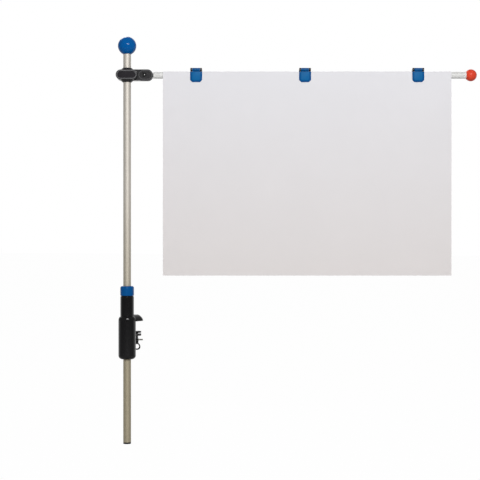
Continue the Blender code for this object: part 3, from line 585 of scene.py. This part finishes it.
slot_floor = 0.0118
slot_step = 0.0148
slot_head = 0.0055
slot_neck = 0.0032
slot_top = -0.005
slot_mouth = body_radius + past
slot = both_sides([
    (slot_neck, slot_mouth), (slot_neck, slot_step), (slot_head, slot_step), (slot_head, slot_floor),
])
barrel = cut(barrel, bores, upright(slot, body_low.z - past, slot_top))
show(barrel, "clamp_body_moulded", black_finish, "clamp", "black_plastic", mast_place, "clamp_body")

# Pieces inside the clamp: the bush in its foot, the jaw's stop pin and the slit collet in the neck.
# They are plain turned pieces in plastic and zinc-plated steel, and show only where the clamp is open.
# The stud that holds the ball is of the same steel.


def plated(name, colour, roughness):
    """Zinc-plated or blackened steel: a mottled metal with a fine crystalline sparkle."""
    material, start, coords, sockets = new_finish(name)
    crystals = start.noise(coords, scale=420.0, detail=4.0)
    haze = start.noise(coords, scale=130.0, detail=2.0)
    start.fill(sockets, {
        "Base Color": mottled(start, crystals, colour, dark=0.8, light=1.2),
        "Roughness": (roughness - 0.08) + 0.16 * haze, "Metallic": 1.0,
        "Normal": start.bump(crystals, strength=0.1, distance=grain_depth),
    })
    return material


zinc = (0.52, 0.53, 0.50)
zinc_finish = plated("zinc_plate", zinc, roughness=0.34)
for node, finish in (
    ("lower_guide_bush", black_finish), ("collet", black_finish),
    ("jaw_stop_pin", zinc_finish), ("ball_stud", zinc_finish),
):
    frame["nodes"][node].data.materials.clear()
    frame["nodes"][node].data.materials.append(finish)

# Lock collar: a blue moulded nut on the clamp's spigot that squeezes the collet round the mast.
# Its outside is plain and satin, with a well rounded upper edge and a smaller round below.

collar_blue = (0.0004, 0.077, 0.268)
collar_finish = moulded(
    "collar_blue", collar_blue, collar_blue, roughness=0.24, grain=1100.0, relief=0.05, gloss=0.12,
)
collar_low, collar_high = extent("lock_collar", mast_place)
collar_radius = collar_high.x
collar_round = 0.004
collar_edge = 0.0012
collar_bore = spigot_radius + running_gap
collar_mouth = mast_bore + running_gap
cone_taper = 0.0013
cone_roof = collet_high.z + running_gap
spigot_roof = body_high.z + running_gap
collar = turned([
    (collar_bore, collar_low.z),
    *arc((collar_radius - collar_edge, collar_low.z + collar_edge), collar_edge, -90.0, 0.0, steps=5),
    *arc((collar_radius - collar_round, collar_high.z - collar_round), collar_round, 0.0, 90.0, steps=12),
    (collar_mouth, collar_high.z), (collar_mouth, cone_roof), (collet_bore - cone_taper, cone_roof),
    (collet_bore + running_gap, spigot_roof), (collar_bore, spigot_roof),
], tube_sides)
show(collar, "lock_collar_moulded", collar_finish, "lock_collar", "blue_plastic", mast_place, "lock_collar")

# Sliding jaw: a black moulding whose T rail runs in the slot, with a round nose bored for the screw.
# It is slid up or down the slot by hand before the screw is turned.


def round_bar(radius, low, high, sides):
    """A plain round bar about Z."""
    return turned([(0.0, low), (radius, low), (radius, high), (0.0, high)], sides)


jaw_low, jaw_high = extent("sliding_jaw", mast_place)
jaw_half = jaw_high.x
jaw_thickness = 0.0045
jaw_edge = 0.0006
spine_half = 0.006
spine_depth = 0.0043
screw_radius = 0.0025
screw_sides = 48
rail_drop = 0.001
rail_edge = 0.0002
jaw_back = body_radius + running_gap
screw_reach = jaw_high.y - jaw_half
rail_outline = both_sides([
    (slot_head - running_gap, slot_floor + running_gap), (slot_head - running_gap, slot_step - running_gap),
    (slot_neck - running_gap, slot_step - running_gap), (slot_neck - running_gap, jaw_back),
    (spine_half, jaw_back), (spine_half, jaw_back + spine_depth),
])
rail = upright(rail_outline, jaw_low.z, jaw_high.z - rail_drop)
nose = arc((0.0, screw_reach), jaw_half, 0.0, 180.0, steps=32)
tray = upright([(jaw_half, jaw_back), *nose, (-jaw_half, jaw_back)], jaw_high.z - jaw_thickness, jaw_high.z)
jaw = joined(soften(rail, rail_edge, segments=2), soften(tray, jaw_edge))
bore = round_bar(screw_radius + running_gap, jaw_low.z, jaw_high.z + past, screw_sides)
jaw = cut(jaw, placed(bore, Matrix.Translation((0.0, screw_reach, 0.0))))
show(jaw, "sliding_jaw_moulded", black_finish, "jaw", "black_plastic", mast_place, "sliding_jaw")

# Pressure pad: a round black cap snapped on the tip of the screw so that the screw turns in it.
# Concentric grooves in its face keep it from slipping.

screw_place = Matrix.Translation((*joints["screw_turn"]["pos_m"][:2], 0.0)) @ arm_turn
pad_low, pad_high = extent("pressure_pad", screw_place)
pad_radius = pad_high.x
pad_socket = 0.0019
pad_roof = 0.0012
pad_edge = 0.0006
pad_sides = 72
groove_depth = 0.0003
groove_width = 0.0008
groove_radii = (0.0072, 0.0054, 0.0034)
pad_face = []
for radius in groove_radii:
    pad_face += [
        (radius + groove_width / 2, pad_high.z), (radius + groove_width / 4, pad_high.z - groove_depth),
        (radius - groove_width / 4, pad_high.z - groove_depth), (radius - groove_width / 2, pad_high.z),
    ]
pad = turned([
    (0.0, pad_high.z - pad_roof), (pad_socket, pad_high.z - pad_roof), (pad_socket, pad_low.z),
    (pad_radius - pad_edge, pad_low.z), (pad_radius, pad_low.z + pad_edge),
    (pad_radius, pad_high.z - pad_edge), (pad_radius - pad_edge, pad_high.z), *pad_face, (0.0, pad_high.z),
], pad_sides)
show(pad, "pressure_pad_moulded", black_finish, "pad", "black_plastic", screw_place, "pressure_pad")

# Clamp screw: a blackened steel screw with a rolled thread, a drilled hub for the bar and a stub below.
# The thread has the pitch at which the screw feeds, and the plain tip is held in the pad.


def wound(bm, pitch, turns, steps):
    """Spin a section about Z into a helix, with some steps to a turn."""
    bmesh.ops.spin(
        bm, geom=[*bm.verts, *bm.edges, *bm.faces], cent=(0.0, 0.0, 0.0), axis=(0.0, 0.0, 1.0),
        dvec=(0.0, 0.0, pitch / steps), angle=2 * math.pi * turns, steps=steps * turns,
    )
    return cleaned(bm)


oxide = (0.035, 0.035, 0.036)
oxide_finish = plated("black_oxide", oxide, roughness=0.42)
screw_low, screw_high = extent("clamp_screw", screw_place)
bar_low, bar_high = extent("tommy_bar", screw_place)
feed_from, feed_to = joints["screw_feed"]["range_m"]
turn_from, turn_to = joints["screw_turn"]["range_deg"]
thread_pitch = round(360.0 * (feed_to - feed_from) / (turn_to - turn_from), 4)
thread_depth = 0.00035
tip_radius = 0.0016
hub_radius = screw_high.x
hub_length = 0.005
stub_radius = 0.0019
spindle_edge = 0.0002
hole_sides = 32
bar_radius = (bar_high.z - bar_low.z) / 2
bar_height = (bar_high.z + bar_low.z) / 2
hub_top = bar_height + hub_length / 2
hub_bottom = bar_height - hub_length / 2
shank_top = pad_low.z - running_gap
core_radius = screw_radius - thread_depth
along_x = Matrix.Rotation(math.pi / 2, 4, "Y")
bar_place = Matrix.Translation((0.0, 0.0, bar_height)) @ along_x
spindle = turned([
    (0.0, screw_high.z), (tip_radius, screw_high.z), (tip_radius, shank_top), (core_radius, shank_top),
    (core_radius, hub_top), (hub_radius, hub_top), (hub_radius, hub_bottom),
    (stub_radius, hub_bottom), (stub_radius, screw_low.z), (0.0, screw_low.z),
], screw_sides)
drill = hub_radius + past
hole = placed(round_bar(bar_radius + running_gap, -drill, drill, hole_sides), bar_place)
spindle = cut(soften(spindle, spindle_edge, segments=2), hole)
show(spindle, "clamp_screw_turned", oxide_finish, "screw", "black_steel", screw_place, "clamp_screw")

thread_steps = 24
thread_turns = int((shank_top - hub_top) / thread_pitch) - 1
thread_root = 0.45 * thread_pitch
thread_crest = 0.08 * thread_pitch
flank = [
    (core_radius - thread_depth, -thread_root), (core_radius, -thread_root), (screw_radius, -thread_crest),
    (screw_radius, thread_crest), (core_radius, thread_root), (core_radius - thread_depth, thread_root),
]
ridge = bmesh.new()
ridge.faces.new([ridge.verts.new((radius, 0.0, height)) for radius, height in flank])
wound(ridge, thread_pitch, thread_turns, thread_steps)
placed(ridge, Matrix.Translation((0.0, 0.0, hub_top + thread_pitch)))
show(ridge, "screw_thread", oxide_finish, "screw", "black_steel", screw_place)

# Tommy bar: a short zinc-plated steel pin pushed through the screw's hub to turn it by.
# Its ends are rounded over so that it can't fall out.

bar_grey = (0.24, 0.235, 0.21)
bar_finish = plated("dull_zinc", bar_grey, roughness=0.4)
bar_half = bar_high.x
bar_round = 0.0006
bar_sides = 40
bar = soften(round_bar(bar_radius, -bar_half, bar_half, bar_sides), bar_round, segments=4)
placed(bar, bar_place)
show(bar, "tommy_bar_plated", bar_finish, "screw", "zinc_steel", screw_place, "tommy_bar")

# Ring handle: an egg-shaped black ring moulded with a boss that is pressed on the screw's stub.
# It gives a finger hold for spinning the screw up quickly.

ring_high = extent("ring_handle", screw_place)[1]
ring_wire = 0.0015
ring_wire_sides = 20
ring_steps = 64
ring_half_height = 0.0061
ring_half_width = 0.0058
ring_egg = 0.22
boss_radius = 0.0032
boss_length = 0.005
boss_edge = 0.0003
boss_bottom = ring_high.z - boss_length
ring_centre = boss_bottom - ring_half_height
ring = bmesh.new()
bmesh.ops.create_circle(ring, segments=ring_wire_sides, radius=ring_wire, cap_ends=False)
bmesh.ops.translate(ring, verts=ring.verts, vec=(ring_half_height, 0.0, 0.0))
bmesh.ops.spin(
    ring, geom=[*ring.verts, *ring.edges], cent=(0.0, 0.0, 0.0), axis=(0.0, 1.0, 0.0),
    angle=2 * math.pi, steps=ring_steps, use_merge=True,
)
for vert in cleaned(ring).verts:
    vert.co.x *= ring_half_width / ring_half_height - ring_egg * vert.co.z / (2 * ring_half_height)
bmesh.ops.translate(ring, verts=ring.verts, vec=(0.0, 0.0, ring_centre))
stub_bore = stub_radius + running_gap
boss = turned([
    (0.0, screw_low.z - running_gap), (stub_bore, screw_low.z - running_gap), (stub_bore, ring_high.z),
    (boss_radius, ring_high.z), (boss_radius, boss_bottom), (0.0, boss_bottom - ring_wire / 2),
], screw_sides)
ring = joined(soften(boss, boss_edge), ring)
show(ring, "ring_handle_moulded", black_finish, "screw", "black_plastic", screw_place, "ring_handle")

# Sleeve: a black moulded sleeve that slides on the mast, with a cone at its foot and a ring on top.
# The ring has a cone as well, and the bracket turns between the two.

bracket_black = (0.0066, 0.006, 0.0075)
# The bracket's marked rims and edges take this light grey: painted highlight.
bracket_painted_highlight = (0.11, 0.11, 0.115)
bracket_finish = moulded(
    "bracket_black", bracket_black, bracket_painted_highlight, roughness=0.26, grain=1400.0, relief=0.06, gloss=0.32,
)
swivel_place = Matrix.Translation(joints["bracket_swivel"]["pos_m"]) @ arm_turn
sleeve_low, sleeve_high = extent("slide_sleeve", swivel_place)
top_ring_low, top_ring_high = extent("sleeve_top_ring", swivel_place)
foot_lip = 0.0094
top_lip = 0.0103
cone_rim = 0.0004
cone_edge = 0.00015
cone_wide = top_ring_high.x
cone_seat = top_ring_low.z
sleeve_outside = 0.0096
sleeve_bore = sleeve_outside + running_gap
sleeve = turned([
    (mast_bore, sleeve_low.z), (foot_lip, sleeve_low.z), (cone_wide, -cone_seat - cone_rim),
    (cone_wide, -cone_seat), (sleeve_outside, -cone_seat), (sleeve_outside, sleeve_high.z),
    (mast_bore, sleeve_high.z),
], tube_sides)
soften(sleeve, cone_edge)
show(sleeve, "slide_sleeve_moulded", bracket_finish, "sleeve", "black_plastic", swivel_place, "slide_sleeve")
top_ring = turned([
    (sleeve_bore, cone_seat), (cone_wide, cone_seat), (cone_wide, cone_seat + cone_rim),
    (top_lip, top_ring_high.z), (sleeve_bore, top_ring_high.z),
], tube_sides)
soften(top_ring, cone_edge)
show(
    top_ring, "sleeve_ring_moulded", bracket_finish, "sleeve", "black_plastic", swivel_place,
    "sleeve_top_ring",
)

# Bracket: two black moulded halves screwed together round the sleeve, each with a cheek for the arm.
# The front half has a raised rim round a bare oval plate, and its cheek has a bead round a long recess.
# The rims, the bead and the cheeks' rounded edges are painted a lighter grey: painted highlight.

front_low, front_high = extent("bracket_front_shell", swivel_place)
rear_high = extent("bracket_rear_shell", swivel_place)[1]
pivot_reach = (arm_place.translation - swivel_place.translation).length
oval_half = -front_low.x
bracket_half = 0.0105
link_half = front_high.z
link_start = 0.0135
link_end = front_high.x
cheek_in = 0.0045
cheek_out = 0.008
cheek_recess = 0.0008
recess_margin = 0.0028
recess_half = link_half - recess_margin
bead_width = 0.0011
bead_rise = 0.00035
web_end = 0.0277
web_set_in = 0.0001
rim_width = 0.0034
plate_sink = 0.0012
parting = 0.00015
pivot_radius = 0.0025
pivot_bore = pivot_radius + running_gap
pivot_sides = 48
well_radius = 0.0056
well_depth = 0.0016
well_floor = cheek_out - cheek_recess - well_depth
shell_screw_reach = 0.0155
shell_screw_head = 0.0028
shell_screw_head_length = 0.002
bracket_edge = 0.0006
oval_edge = 0.0018
bead_edge = 0.0003
round_end_steps = 32
frontal = 0.97  # least cosine at which a face counts as looking to the front
along_y = Matrix.Rotation(-math.pi / 2, 4, "X")


def plate(outline, near, far):
    """A flat outline in X and Z, extruded from front to back."""
    return extruded([(x, near, z) for x, z in outline], (0.0, far - near, 0.0))


def rectangle(left, right, low, high):
    """Outline of a plain block."""
    return [(left, low), (right, low), (right, high), (left, high)]


def oblong(left, right, half):
    """Outline of a long plate with half round ends."""
    outline = arc((right - half, 0.0), half, -90.0, 90.0, round_end_steps)
    return outline + arc((left + half, 0.0), half, 90.0, 270.0, round_end_steps)


def cross_hole(radius, near, far, reach):
    """A round cutter across the bracket, from front to back, at a distance from the mast's axis."""
    bm = round_bar(radius, near, far, pivot_sides)
    return placed(bm, Matrix.Translation((reach, 0.0, 0.0)) @ along_y)


def mark_front_highlight(bm):
    """Mark only the faces that look to the front, to take a painted highlight."""
    lighter_mark = bm.faces.layers.float.get("lighter_mark")
    for face in bm.faces:
        face[lighter_mark] = 1.0 if face.normal.y < -frontal else 0.0
    return bm


def bracket_shell(side, depth):
    """One half of the bracket; side is -1 in front and 1 behind."""

    def slab(outline, near, far):
        return plate(outline, *sorted((side * near, side * far)))

    shell = soften(slab(oblong(-oval_half, oval_half, bracket_half), parting, depth), oval_edge, segments=6)
    tip = arc((link_end - link_half, 0.0), link_half, -90.0, 90.0, round_end_steps)
    cheek = slab([(link_start, -link_half), *tip, (link_start, link_half)], cheek_in, cheek_out)
    web_half = link_half - web_set_in
    web = slab(
        rectangle(link_start + past, web_end, -web_half, web_half),
        parting + web_set_in, (cheek_in + cheek_out) / 2,
    )
    recess_start = oval_half + recess_margin
    recess_end = link_end - recess_margin
    bead = slab(
        oblong(recess_start - bead_width, recess_end + bead_width, recess_half + bead_width),
        cheek_out - bead_rise, cheek_out + bead_rise,
    )
    mark_front_highlight(shell)
    tall = bracket_half + past
    shell = cut(shell, round_bar(sleeve_bore, -tall, tall, tube_sides))
    shell = joined(shell, soften(cheek, bracket_edge), web, mark_front_highlight(soften(bead, bead_edge)))
    recess = slab(
        oblong(recess_start, recess_end, recess_half), cheek_out - cheek_recess, cheek_out + past,
    )
    hole = cross_hole(pivot_bore, *sorted((0.0, side * (cheek_out + past))), pivot_reach)
    return cut(shell, recess, hole)


sunk_half = bracket_half - rim_width
sunk = plate(
    oblong(rim_width - oval_half, oval_half - rim_width, sunk_half),
    front_low.y - past, front_low.y + plate_sink,
)
well = cross_hole(well_radius, -cheek_out - past, -well_floor, pivot_reach)
front_shell = cut(bracket_shell(-1.0, -front_low.y), sunk, well)
show(
    front_shell, "bracket_front_moulded", bracket_finish, "bracket", "black_plastic", swivel_place,
    "bracket_front_shell",
)
rear_shell = bracket_shell(1.0, rear_high.y)
head_floor = rear_high.y - shell_screw_head_length - running_gap
for reach in (-shell_screw_reach, shell_screw_reach):
    pocket = cross_hole(shell_screw_head + running_gap, head_floor, rear_high.y + past, reach)
    rear_shell = cut(rear_shell, pocket)
show(
    rear_shell, "bracket_rear_moulded", bracket_finish, "bracket", "black_plastic", swivel_place,
    "bracket_rear_shell",
)

# Face plate: a thin bare oval of glossy black plastic set in the front half's rim.
# Its edge is rounded, and it is held by the rim all round.

plate_black = (0.008, 0.0062, 0.0095)
# The plate's rounded edge is a little lighter: edge wear with a faint painted highlight.
plate_edge_wear_and_sheen = (0.02, 0.018, 0.022)
plate_finish = moulded(
    "plate_gloss", plate_black, plate_edge_wear_and_sheen, roughness=0.22, grain=1400.0, relief=0.04, gloss=0.26,
)
plate_edge = 0.0003
plate_low, plate_high = extent("face_plate", swivel_place)
plate_half = sunk_half - running_gap
plate_end = oval_half - rim_width - running_gap
oval = plate(oblong(-plate_end, plate_end, plate_half), plate_low.y, plate_high.y)
soften(oval, plate_edge)
show(oval, "face_plate_gloss", plate_finish, "bracket", "black_plastic", swivel_place, "face_plate")

# Screws of the bracket: two zinc-plated pan heads behind, and a pivot screw with a hexagon nut.
# The pivot's head is a black dome in a round well, with a painted highlight at its crown.

head_sides = 40
screw_edge = 0.0003
shell_screw_radius = 0.0016
cross_slot_width = 0.0007
cross_slot_length = 0.0034
cross_slot_depth = 0.0008
for number in (1, 2):
    node = f"bracket_screw_{number}"
    low, high = extent(node, swivel_place)
    reach = (low.x + high.x) / 2
    under_head = high.y - shell_screw_head_length
    screw = turned([
        (0.0, low.y), (shell_screw_radius, low.y), (shell_screw_radius, under_head),
        (shell_screw_head, under_head), (shell_screw_head, high.y), (0.0, high.y),
    ], head_sides)
    soften(screw, screw_edge)
    placed(screw, Matrix.Translation((reach, 0.0, 0.0)) @ along_y)
    for wide, tall in ((cross_slot_length, cross_slot_width), (cross_slot_width, cross_slot_length)):
        slit = plate(
            rectangle(reach - wide / 2, reach + wide / 2, -tall / 2, tall / 2),
            high.y - cross_slot_depth, high.y + past,
        )
        screw = cut(screw, slit)
    show(screw, f"{node}_plated", zinc_finish, "bracket", "zinc_steel", swivel_place, node)

patch_fray = 0.0002


def glint_head(name, crown, core, reach):
    """Blackened steel with a painted highlight round one point; core and reach are where the bright patch
    ends.
    """
    material, start, coords, sockets = new_finish(name)
    scratches = start.noise(coords, scale=900.0, detail=3.0)
    away = start.node(
        "ShaderNodeVectorMath", {"operation": "DISTANCE"}, {0: coords, 1: crown}, output="Value",
    )
    # A bright spot round the crown: painted highlight.
    glint_mask = 1.0 - start.ramp(away + patch_fray * scratches, core, reach)
    start.fill(sockets, {
        "Base Color": start.blend(glint_mask, shade(oxide, 1.0), shade(zinc, 1.5)),
        "Roughness": 0.3 + 0.1 * scratches - 0.08 * glint_mask, "Metallic": 1.0,
    })
    return material


pivot_low, pivot_high = extent("pivot_screw", swivel_place)
nut_low, nut_high = extent("pivot_nut", swivel_place)
head_radius = pivot_high.z
head_edge = 0.0005
head_seat = -well_floor - running_gap
dome_rise = head_seat - head_edge - pivot_low.y
dome_radius = (head_radius ** 2 + dome_rise ** 2) / (2 * dome_rise)
dome_slope = math.degrees(math.asin(head_radius / dome_radius))
dome = arc((0.0, pivot_low.y + dome_radius), dome_radius, -90.0, dome_slope - 90.0, steps=12)[1:]
pivot = turned([
    (0.0, pivot_low.y), *dome, (head_radius, head_seat), (pivot_radius, head_seat),
    (pivot_radius, pivot_high.y), (0.0, pivot_high.y),
], head_sides)
pivot_place = Matrix.Translation((pivot_reach, 0.0, 0.0)) @ along_y
placed(pivot, pivot_place)
head_crown = swivel_place @ Vector((pivot_reach, pivot_low.y, 0.0))
pivot_finish = glint_head("oxide_painted_glint", head_crown, core=0.0004, reach=0.0011)
show(pivot, "pivot_screw_blackened", pivot_finish, "bracket", "black_steel", swivel_place, "pivot_screw")

nut_radius = (nut_high.x - nut_low.x) / 2
nut_sides = 6
nut = soften(round_bar(nut_radius, nut_low.y, nut_high.y, nut_sides), screw_edge, segments=2)
nut = cut(placed(nut, pivot_place), cross_hole(pivot_bore, 0.0, nut_high.y + past, pivot_reach))
show(nut, "pivot_nut_plated", zinc_finish, "bracket", "zinc_steel", swivel_place, "pivot_nut")

# Arm's tongue: a black moulding that tilts between the bracket's cheeks, with a round tenon in the rod.
# Its inner end is rounded above so that the arm can be swung up, and square below to stop it when level.

tongue_half = 0.008
tongue_edge = 0.0004
tongue_low, tongue_high = extent("arm_tongue", arm_place)
rod_low, rod_high = extent("arm_rod", arm_place)
rod_radius = rod_high.z
rod_wall = 0.0025
tenon_radius = rod_radius - rod_wall - running_gap
tenon_sides = 48
tongue_end = rod_low.x - running_gap
outline = [(-tongue_half, -tongue_half)]
outline += arc((tongue_end - tongue_half, 0.0), tongue_half, -90.0, 90.0, steps=24)
outline += arc((0.0, 0.0), tongue_half, 90.0, 180.0, steps=16)
tongue = soften(plate(outline, tongue_low.y, tongue_high.y), tongue_edge)
tenon = placed(round_bar(tenon_radius, tongue_end / 2, tongue_high.x, tenon_sides), along_x)
tongue = cut(joined(tongue, tenon), cross_hole(pivot_bore, -tongue_half, tongue_half, 0.0))
show(tongue, "arm_tongue_moulded", black_finish, "arm", "black_plastic", arm_place, "arm_tongue")

# Arm's rod: a thin drawn aluminium tube in a natural satin anodise, pushed on the tongue's tenon.
# The plan hangs in front of it, and the clips ride on it.

natural = (0.86, 0.86, 0.85)
rod_sides = 80
rod_finish = anodised(
    "natural_tube", natural, roughness=0.92, turn=(0.0, 0.0, math.atan2(arm_along.y, arm_along.x)),
    streak=(line_length, line_width, line_width),
)
rod = placed(pipe(rod_radius, rod_wall, rod_low.x, rod_high.x, rod_sides), along_x)
show(rod, "arm_rod_drawn", rod_finish, "arm", "aluminium", arm_place, "arm_rod")

# End ball: a small red ball in glossy plastic pushed over the rod's end.
# It keeps the clips on the rod and guards against the rod's edge.

ball_red = (0.7, 0.06, 0.025)
red_finish = moulded("ball_red", ball_red, ball_red, roughness=0.32, grain=900.0, relief=0.04, gloss=0.2)
cap_high = extent("end_ball", arm_place)[1]
cap_radius = cap_high.z
cap_centre = cap_high.x - cap_radius
cap_mouth = rod_radius + ball_lip
cap = turned(ball_profile(cap_radius, cap_centre, cap_mouth, rod_high.x + ball_lip), rod_sides)
placed(cap, along_x)
show(cap, "end_ball_gloss", red_finish, "arm", "red_plastic", arm_place, "end_ball")

# Plan: a blank A2 sheet of stout white paper held against the rod by the clips and hanging free below.
# It lies flat at the clips and waves very slightly towards its lower edge, where its tone is darker and
# warmer: painted shade.


def drawing_paper(name, colour, paper_shade_colour, paper_shade_span):
    """Matt white paper: fine fibres, faint clouds, and a darker, warmer painted shade at the foot of a span
    of heights.
    """
    material, start, coords, sockets = new_finish(name)
    fibres = start.noise(coords, scale=1800.0, detail=4.0)
    clouds = start.noise(coords, scale=14.0, detail=3.0)
    uneven = 0.35 * fibres + 0.65 * clouds
    paper_upper_tone = mottled(start, uneven, colour, dark=0.975, light=1.02)
    # Towards the foot the paper is painted darker and warmer: painted shade.
    paper_shade_tone = mottled(start, uneven, paper_shade_colour, dark=0.975, light=1.02)
    start.fill(sockets, {
        "Base Color": start.blend(start.rise(coords, *paper_shade_span), paper_shade_tone, paper_upper_tone),
        "Roughness": 0.78 + 0.12 * fibres, "Specular IOR Level": 0.25,
        "Normal": start.bump(fibres, strength=0.15, distance=grain_depth),
    })
    return material


paper_white = (0.737, 0.731, 0.759)
# A darker, warmer paper tone for the lower edge: painted shade.
paper_painted_shade = (0.73, 0.694, 0.687)
sheet_low, sheet_high = extent("plan_sheet", arm_place)
sheet_span = ((arm_place @ sheet_low).z, (arm_place @ sheet_high).z)
paper_finish = drawing_paper("drawing_paper", paper_white, paper_painted_shade, sheet_span)
sheet_width = sheet_high.x - sheet_low.x
sheet_length = sheet_high.z - sheet_low.z
sheet_cells = (60, 42)
held_depth = 0.035
wave_depth = 0.0008
wave_count = 1.5
wave_start = 0.6
sheet = bmesh.new()
bmesh.ops.create_grid(sheet, x_segments=sheet_cells[0], y_segments=sheet_cells[1], size=0.5)
for vert in sheet.verts:
    along = vert.co.x + 0.5
    down = 0.5 - vert.co.y
    free = max(0.0, down * sheet_length - held_depth) / (sheet_length - held_depth)
    wave = wave_depth * math.sin(2 * math.pi * wave_count * along + wave_start) * free ** 2
    vert.co = (
        sheet_low.x + along * sheet_width,
        (sheet_low.y + sheet_high.y) / 2 - wave,
        sheet_high.z - down * sheet_length,
    )
plan = show(sheet, "plan_paper", paper_finish, "arm", "paper", arm_place, "plan_sheet")
plan.data.shade_flat()
plan.modifiers.clear()
thicken = plan.modifiers.new("paper_thickness", "SOLIDIFY")
thicken.thickness = sheet_high.y - sheet_low.y
thicken.offset = 0.0

# Clips: each has a black saddle that rides on the rod, a sprung blue flap in front and a steel hinge pin.
# The flap's face is a flat pad with sloping borders and cut corners, and its upper edge rolls round the pin.
# A wound spring on the pin presses the flap on the plan.

# The flap's borders and roll take the darker blue and its face the lighter one: painted shade on borders and
# roll.
clip_painted_shade_blue = (0.001, 0.08, 0.25)
clip_face_blue = (0.003, 0.12, 0.325)
clip_finish = moulded(
    "clip_painted_shade_blue", clip_painted_shade_blue, clip_face_blue, roughness=0.3, grain=1000.0, relief=0.05, gloss=0.1,
)
barrel_radius = 0.0036
barrel_half = 0.008
barrel_sides = 64
pin_radius = 0.0011
pin_edge = 0.0003
pin_sides = 32
saddle_wall = 0.0026
saddle_to = 95.0
saddle_edge = 0.0003
saddle_steps = 40
lug_from = 60.0
lug_to = 300.0
lug_root = 55.0
lug_set_in = 0.0004
flap_thickness = 0.0024
flap_corner = 0.0044
flap_border = 0.0042
flap_slope = 0.0019
flap_brow = 0.0006
flap_neck_lap = 0.001
spring_wire = 0.00035
spring_wire_sides = 12
spring_turns = 4
spring_pitch = 0.0014
spring_steps = 32
spring_room = 0.0004
spring_half = spring_turns * spring_pitch / 2
spring_radius = pin_radius + running_gap + 2 * spring_wire
pocket_radius = spring_radius + spring_wire + spring_room
pocket_half = spring_half + spring_wire + spring_room
saddle_inside = rod_radius + running_gap
saddle_outside = saddle_inside + saddle_wall
saddle_from = math.degrees(math.acos((rod_radius - running_gap) / saddle_outside)) - 180.0
flap_back = sheet_low.y - running_gap
flap_edge = flap_back - flap_thickness + flap_slope


def rod_wise(radius, half, sides, centre):
    """A round bar along the rod, centred on a point."""
    return placed(round_bar(radius, -half, half, sides), Matrix.Translation(centre) @ along_x)


def section_bar(section, left, right):
    """A section in Y and Z, extruded along the rod."""
    return extruded([(left, y, z) for y, z in section], (right - left, 0.0, 0.0))


def clip_saddle(hinge, left, right):
    """The saddle: an open ring round the rod with two lugs for the pin."""
    section = arc((0.0, 0.0), saddle_outside, saddle_from, saddle_to, saddle_steps)
    section += arc((0.0, 0.0), saddle_inside, saddle_to, saddle_from, saddle_steps)
    saddle = soften(section_bar(section, left, right), saddle_edge, segments=2)
    lug = arc(hinge.yz, barrel_radius, lug_from, lug_to, steps=32)
    lug += arc((0.0, 0.0), (saddle_inside + saddle_outside) / 2, saddle_to, lug_root, steps=8)
    lug_gap = barrel_half + running_gap
    for near, far in ((left + lug_set_in, hinge.x - lug_gap), (hinge.x + lug_gap, right - lug_set_in)):
        saddle = joined(saddle, section_bar(lug, near, far))
    return cut(saddle, rod_wise(pin_radius + running_gap, right - left, pin_sides, hinge))


def clip_flap(hinge, left, right, foot):
    """The flap: a pad with sloping borders, a neck, and a barrel with a pocket for the spring."""
    top = hinge.z - barrel_radius - 2 * running_gap
    flap = plate([
        (left + flap_corner, foot), (right - flap_corner, foot), (right, foot + flap_corner),
        (right, top), (left, top), (left, foot + flap_corner),
    ], flap_back, flap_edge)
    lighter_mark = flap.faces.layers.float.new("lighter_mark")
    pad_faces = [face for face in flap.faces if face.normal.y < -frontal]
    bmesh.ops.inset_region(flap, faces=pad_faces, thickness=flap_border, use_even_offset=True)
    # Only the face takes the lighter blue; the borders and roll keep the darker painted shade.
    for face in pad_faces:
        face[lighter_mark] = 1.0
    raised = {vert for face in pad_faces for vert in face.verts}
    bmesh.ops.translate(flap, verts=list(raised), vec=(0.0, -flap_slope, 0.0))
    for vert in raised:
        if 2 * vert.co.z > foot + top:
            vert.co.z = top - flap_brow
    ear = barrel_half - running_gap
    neck = plate(
        rectangle(hinge.x - ear, hinge.x + ear, top - flap_neck_lap, hinge.z), flap_back, flap_edge,
    )
    flap = joined(flap, neck, rod_wise(barrel_radius, barrel_half, barrel_sides, hinge))
    pin_hole = rod_wise(pin_radius + running_gap, right - left, pin_sides, hinge)
    mouth = hinge.y + barrel_radius + past
    pocket = [(mouth, hinge.z - pocket_radius), (mouth, hinge.z + pocket_radius)]
    pocket += arc(hinge.yz, pocket_radius, 90.0, 270.0, steps=24)
    return cut(flap, pin_hole, section_bar(pocket, hinge.x - pocket_half, hinge.x + pocket_half))


def clip_spring(hinge):
    """The spring: a round wire wound about the pin."""
    coil = bmesh.new()
    bmesh.ops.create_circle(coil, segments=spring_wire_sides, radius=spring_wire, cap_ends=True)
    placed(coil, Matrix.Translation((spring_radius, 0.0, -spring_half)) @ along_y.inverted())
    wound(coil, spring_pitch, spring_turns, spring_steps)
    return placed(coil, Matrix.Translation(hinge) @ along_x)


for number in (1, 2, 3):
    pin_low, pin_high = extent(f"clip_pin_{number}", arm_place)
    flap_low = extent(f"clip_flap_{number}", arm_place)[0]
    hinge = (pin_low + pin_high) / 2
    left, right = pin_low.x, pin_high.x
    pin = soften(rod_wise(pin_radius, (right - left) / 2, pin_sides, hinge), pin_edge)
    for kind, bm, ending, finish, body, slot in (
        ("saddle", clip_saddle(hinge, left, right), "moulded", black_finish, "clip", "black_plastic"),
        ("flap", clip_flap(hinge, left, right, flap_low.z), "moulded", clip_finish, "flap", "blue_plastic"),
        ("pin", pin, "blackened", oxide_finish, "clip", "black_steel"),
        ("spring", clip_spring(hinge), "wound", zinc_finish, "clip", "zinc_steel"),
    ):
        show(
            bm, f"clip_{kind}_{number}_{ending}", finish, f"{body}_{number}", slot, arm_place,
            f"clip_{kind}_{number}",
        )
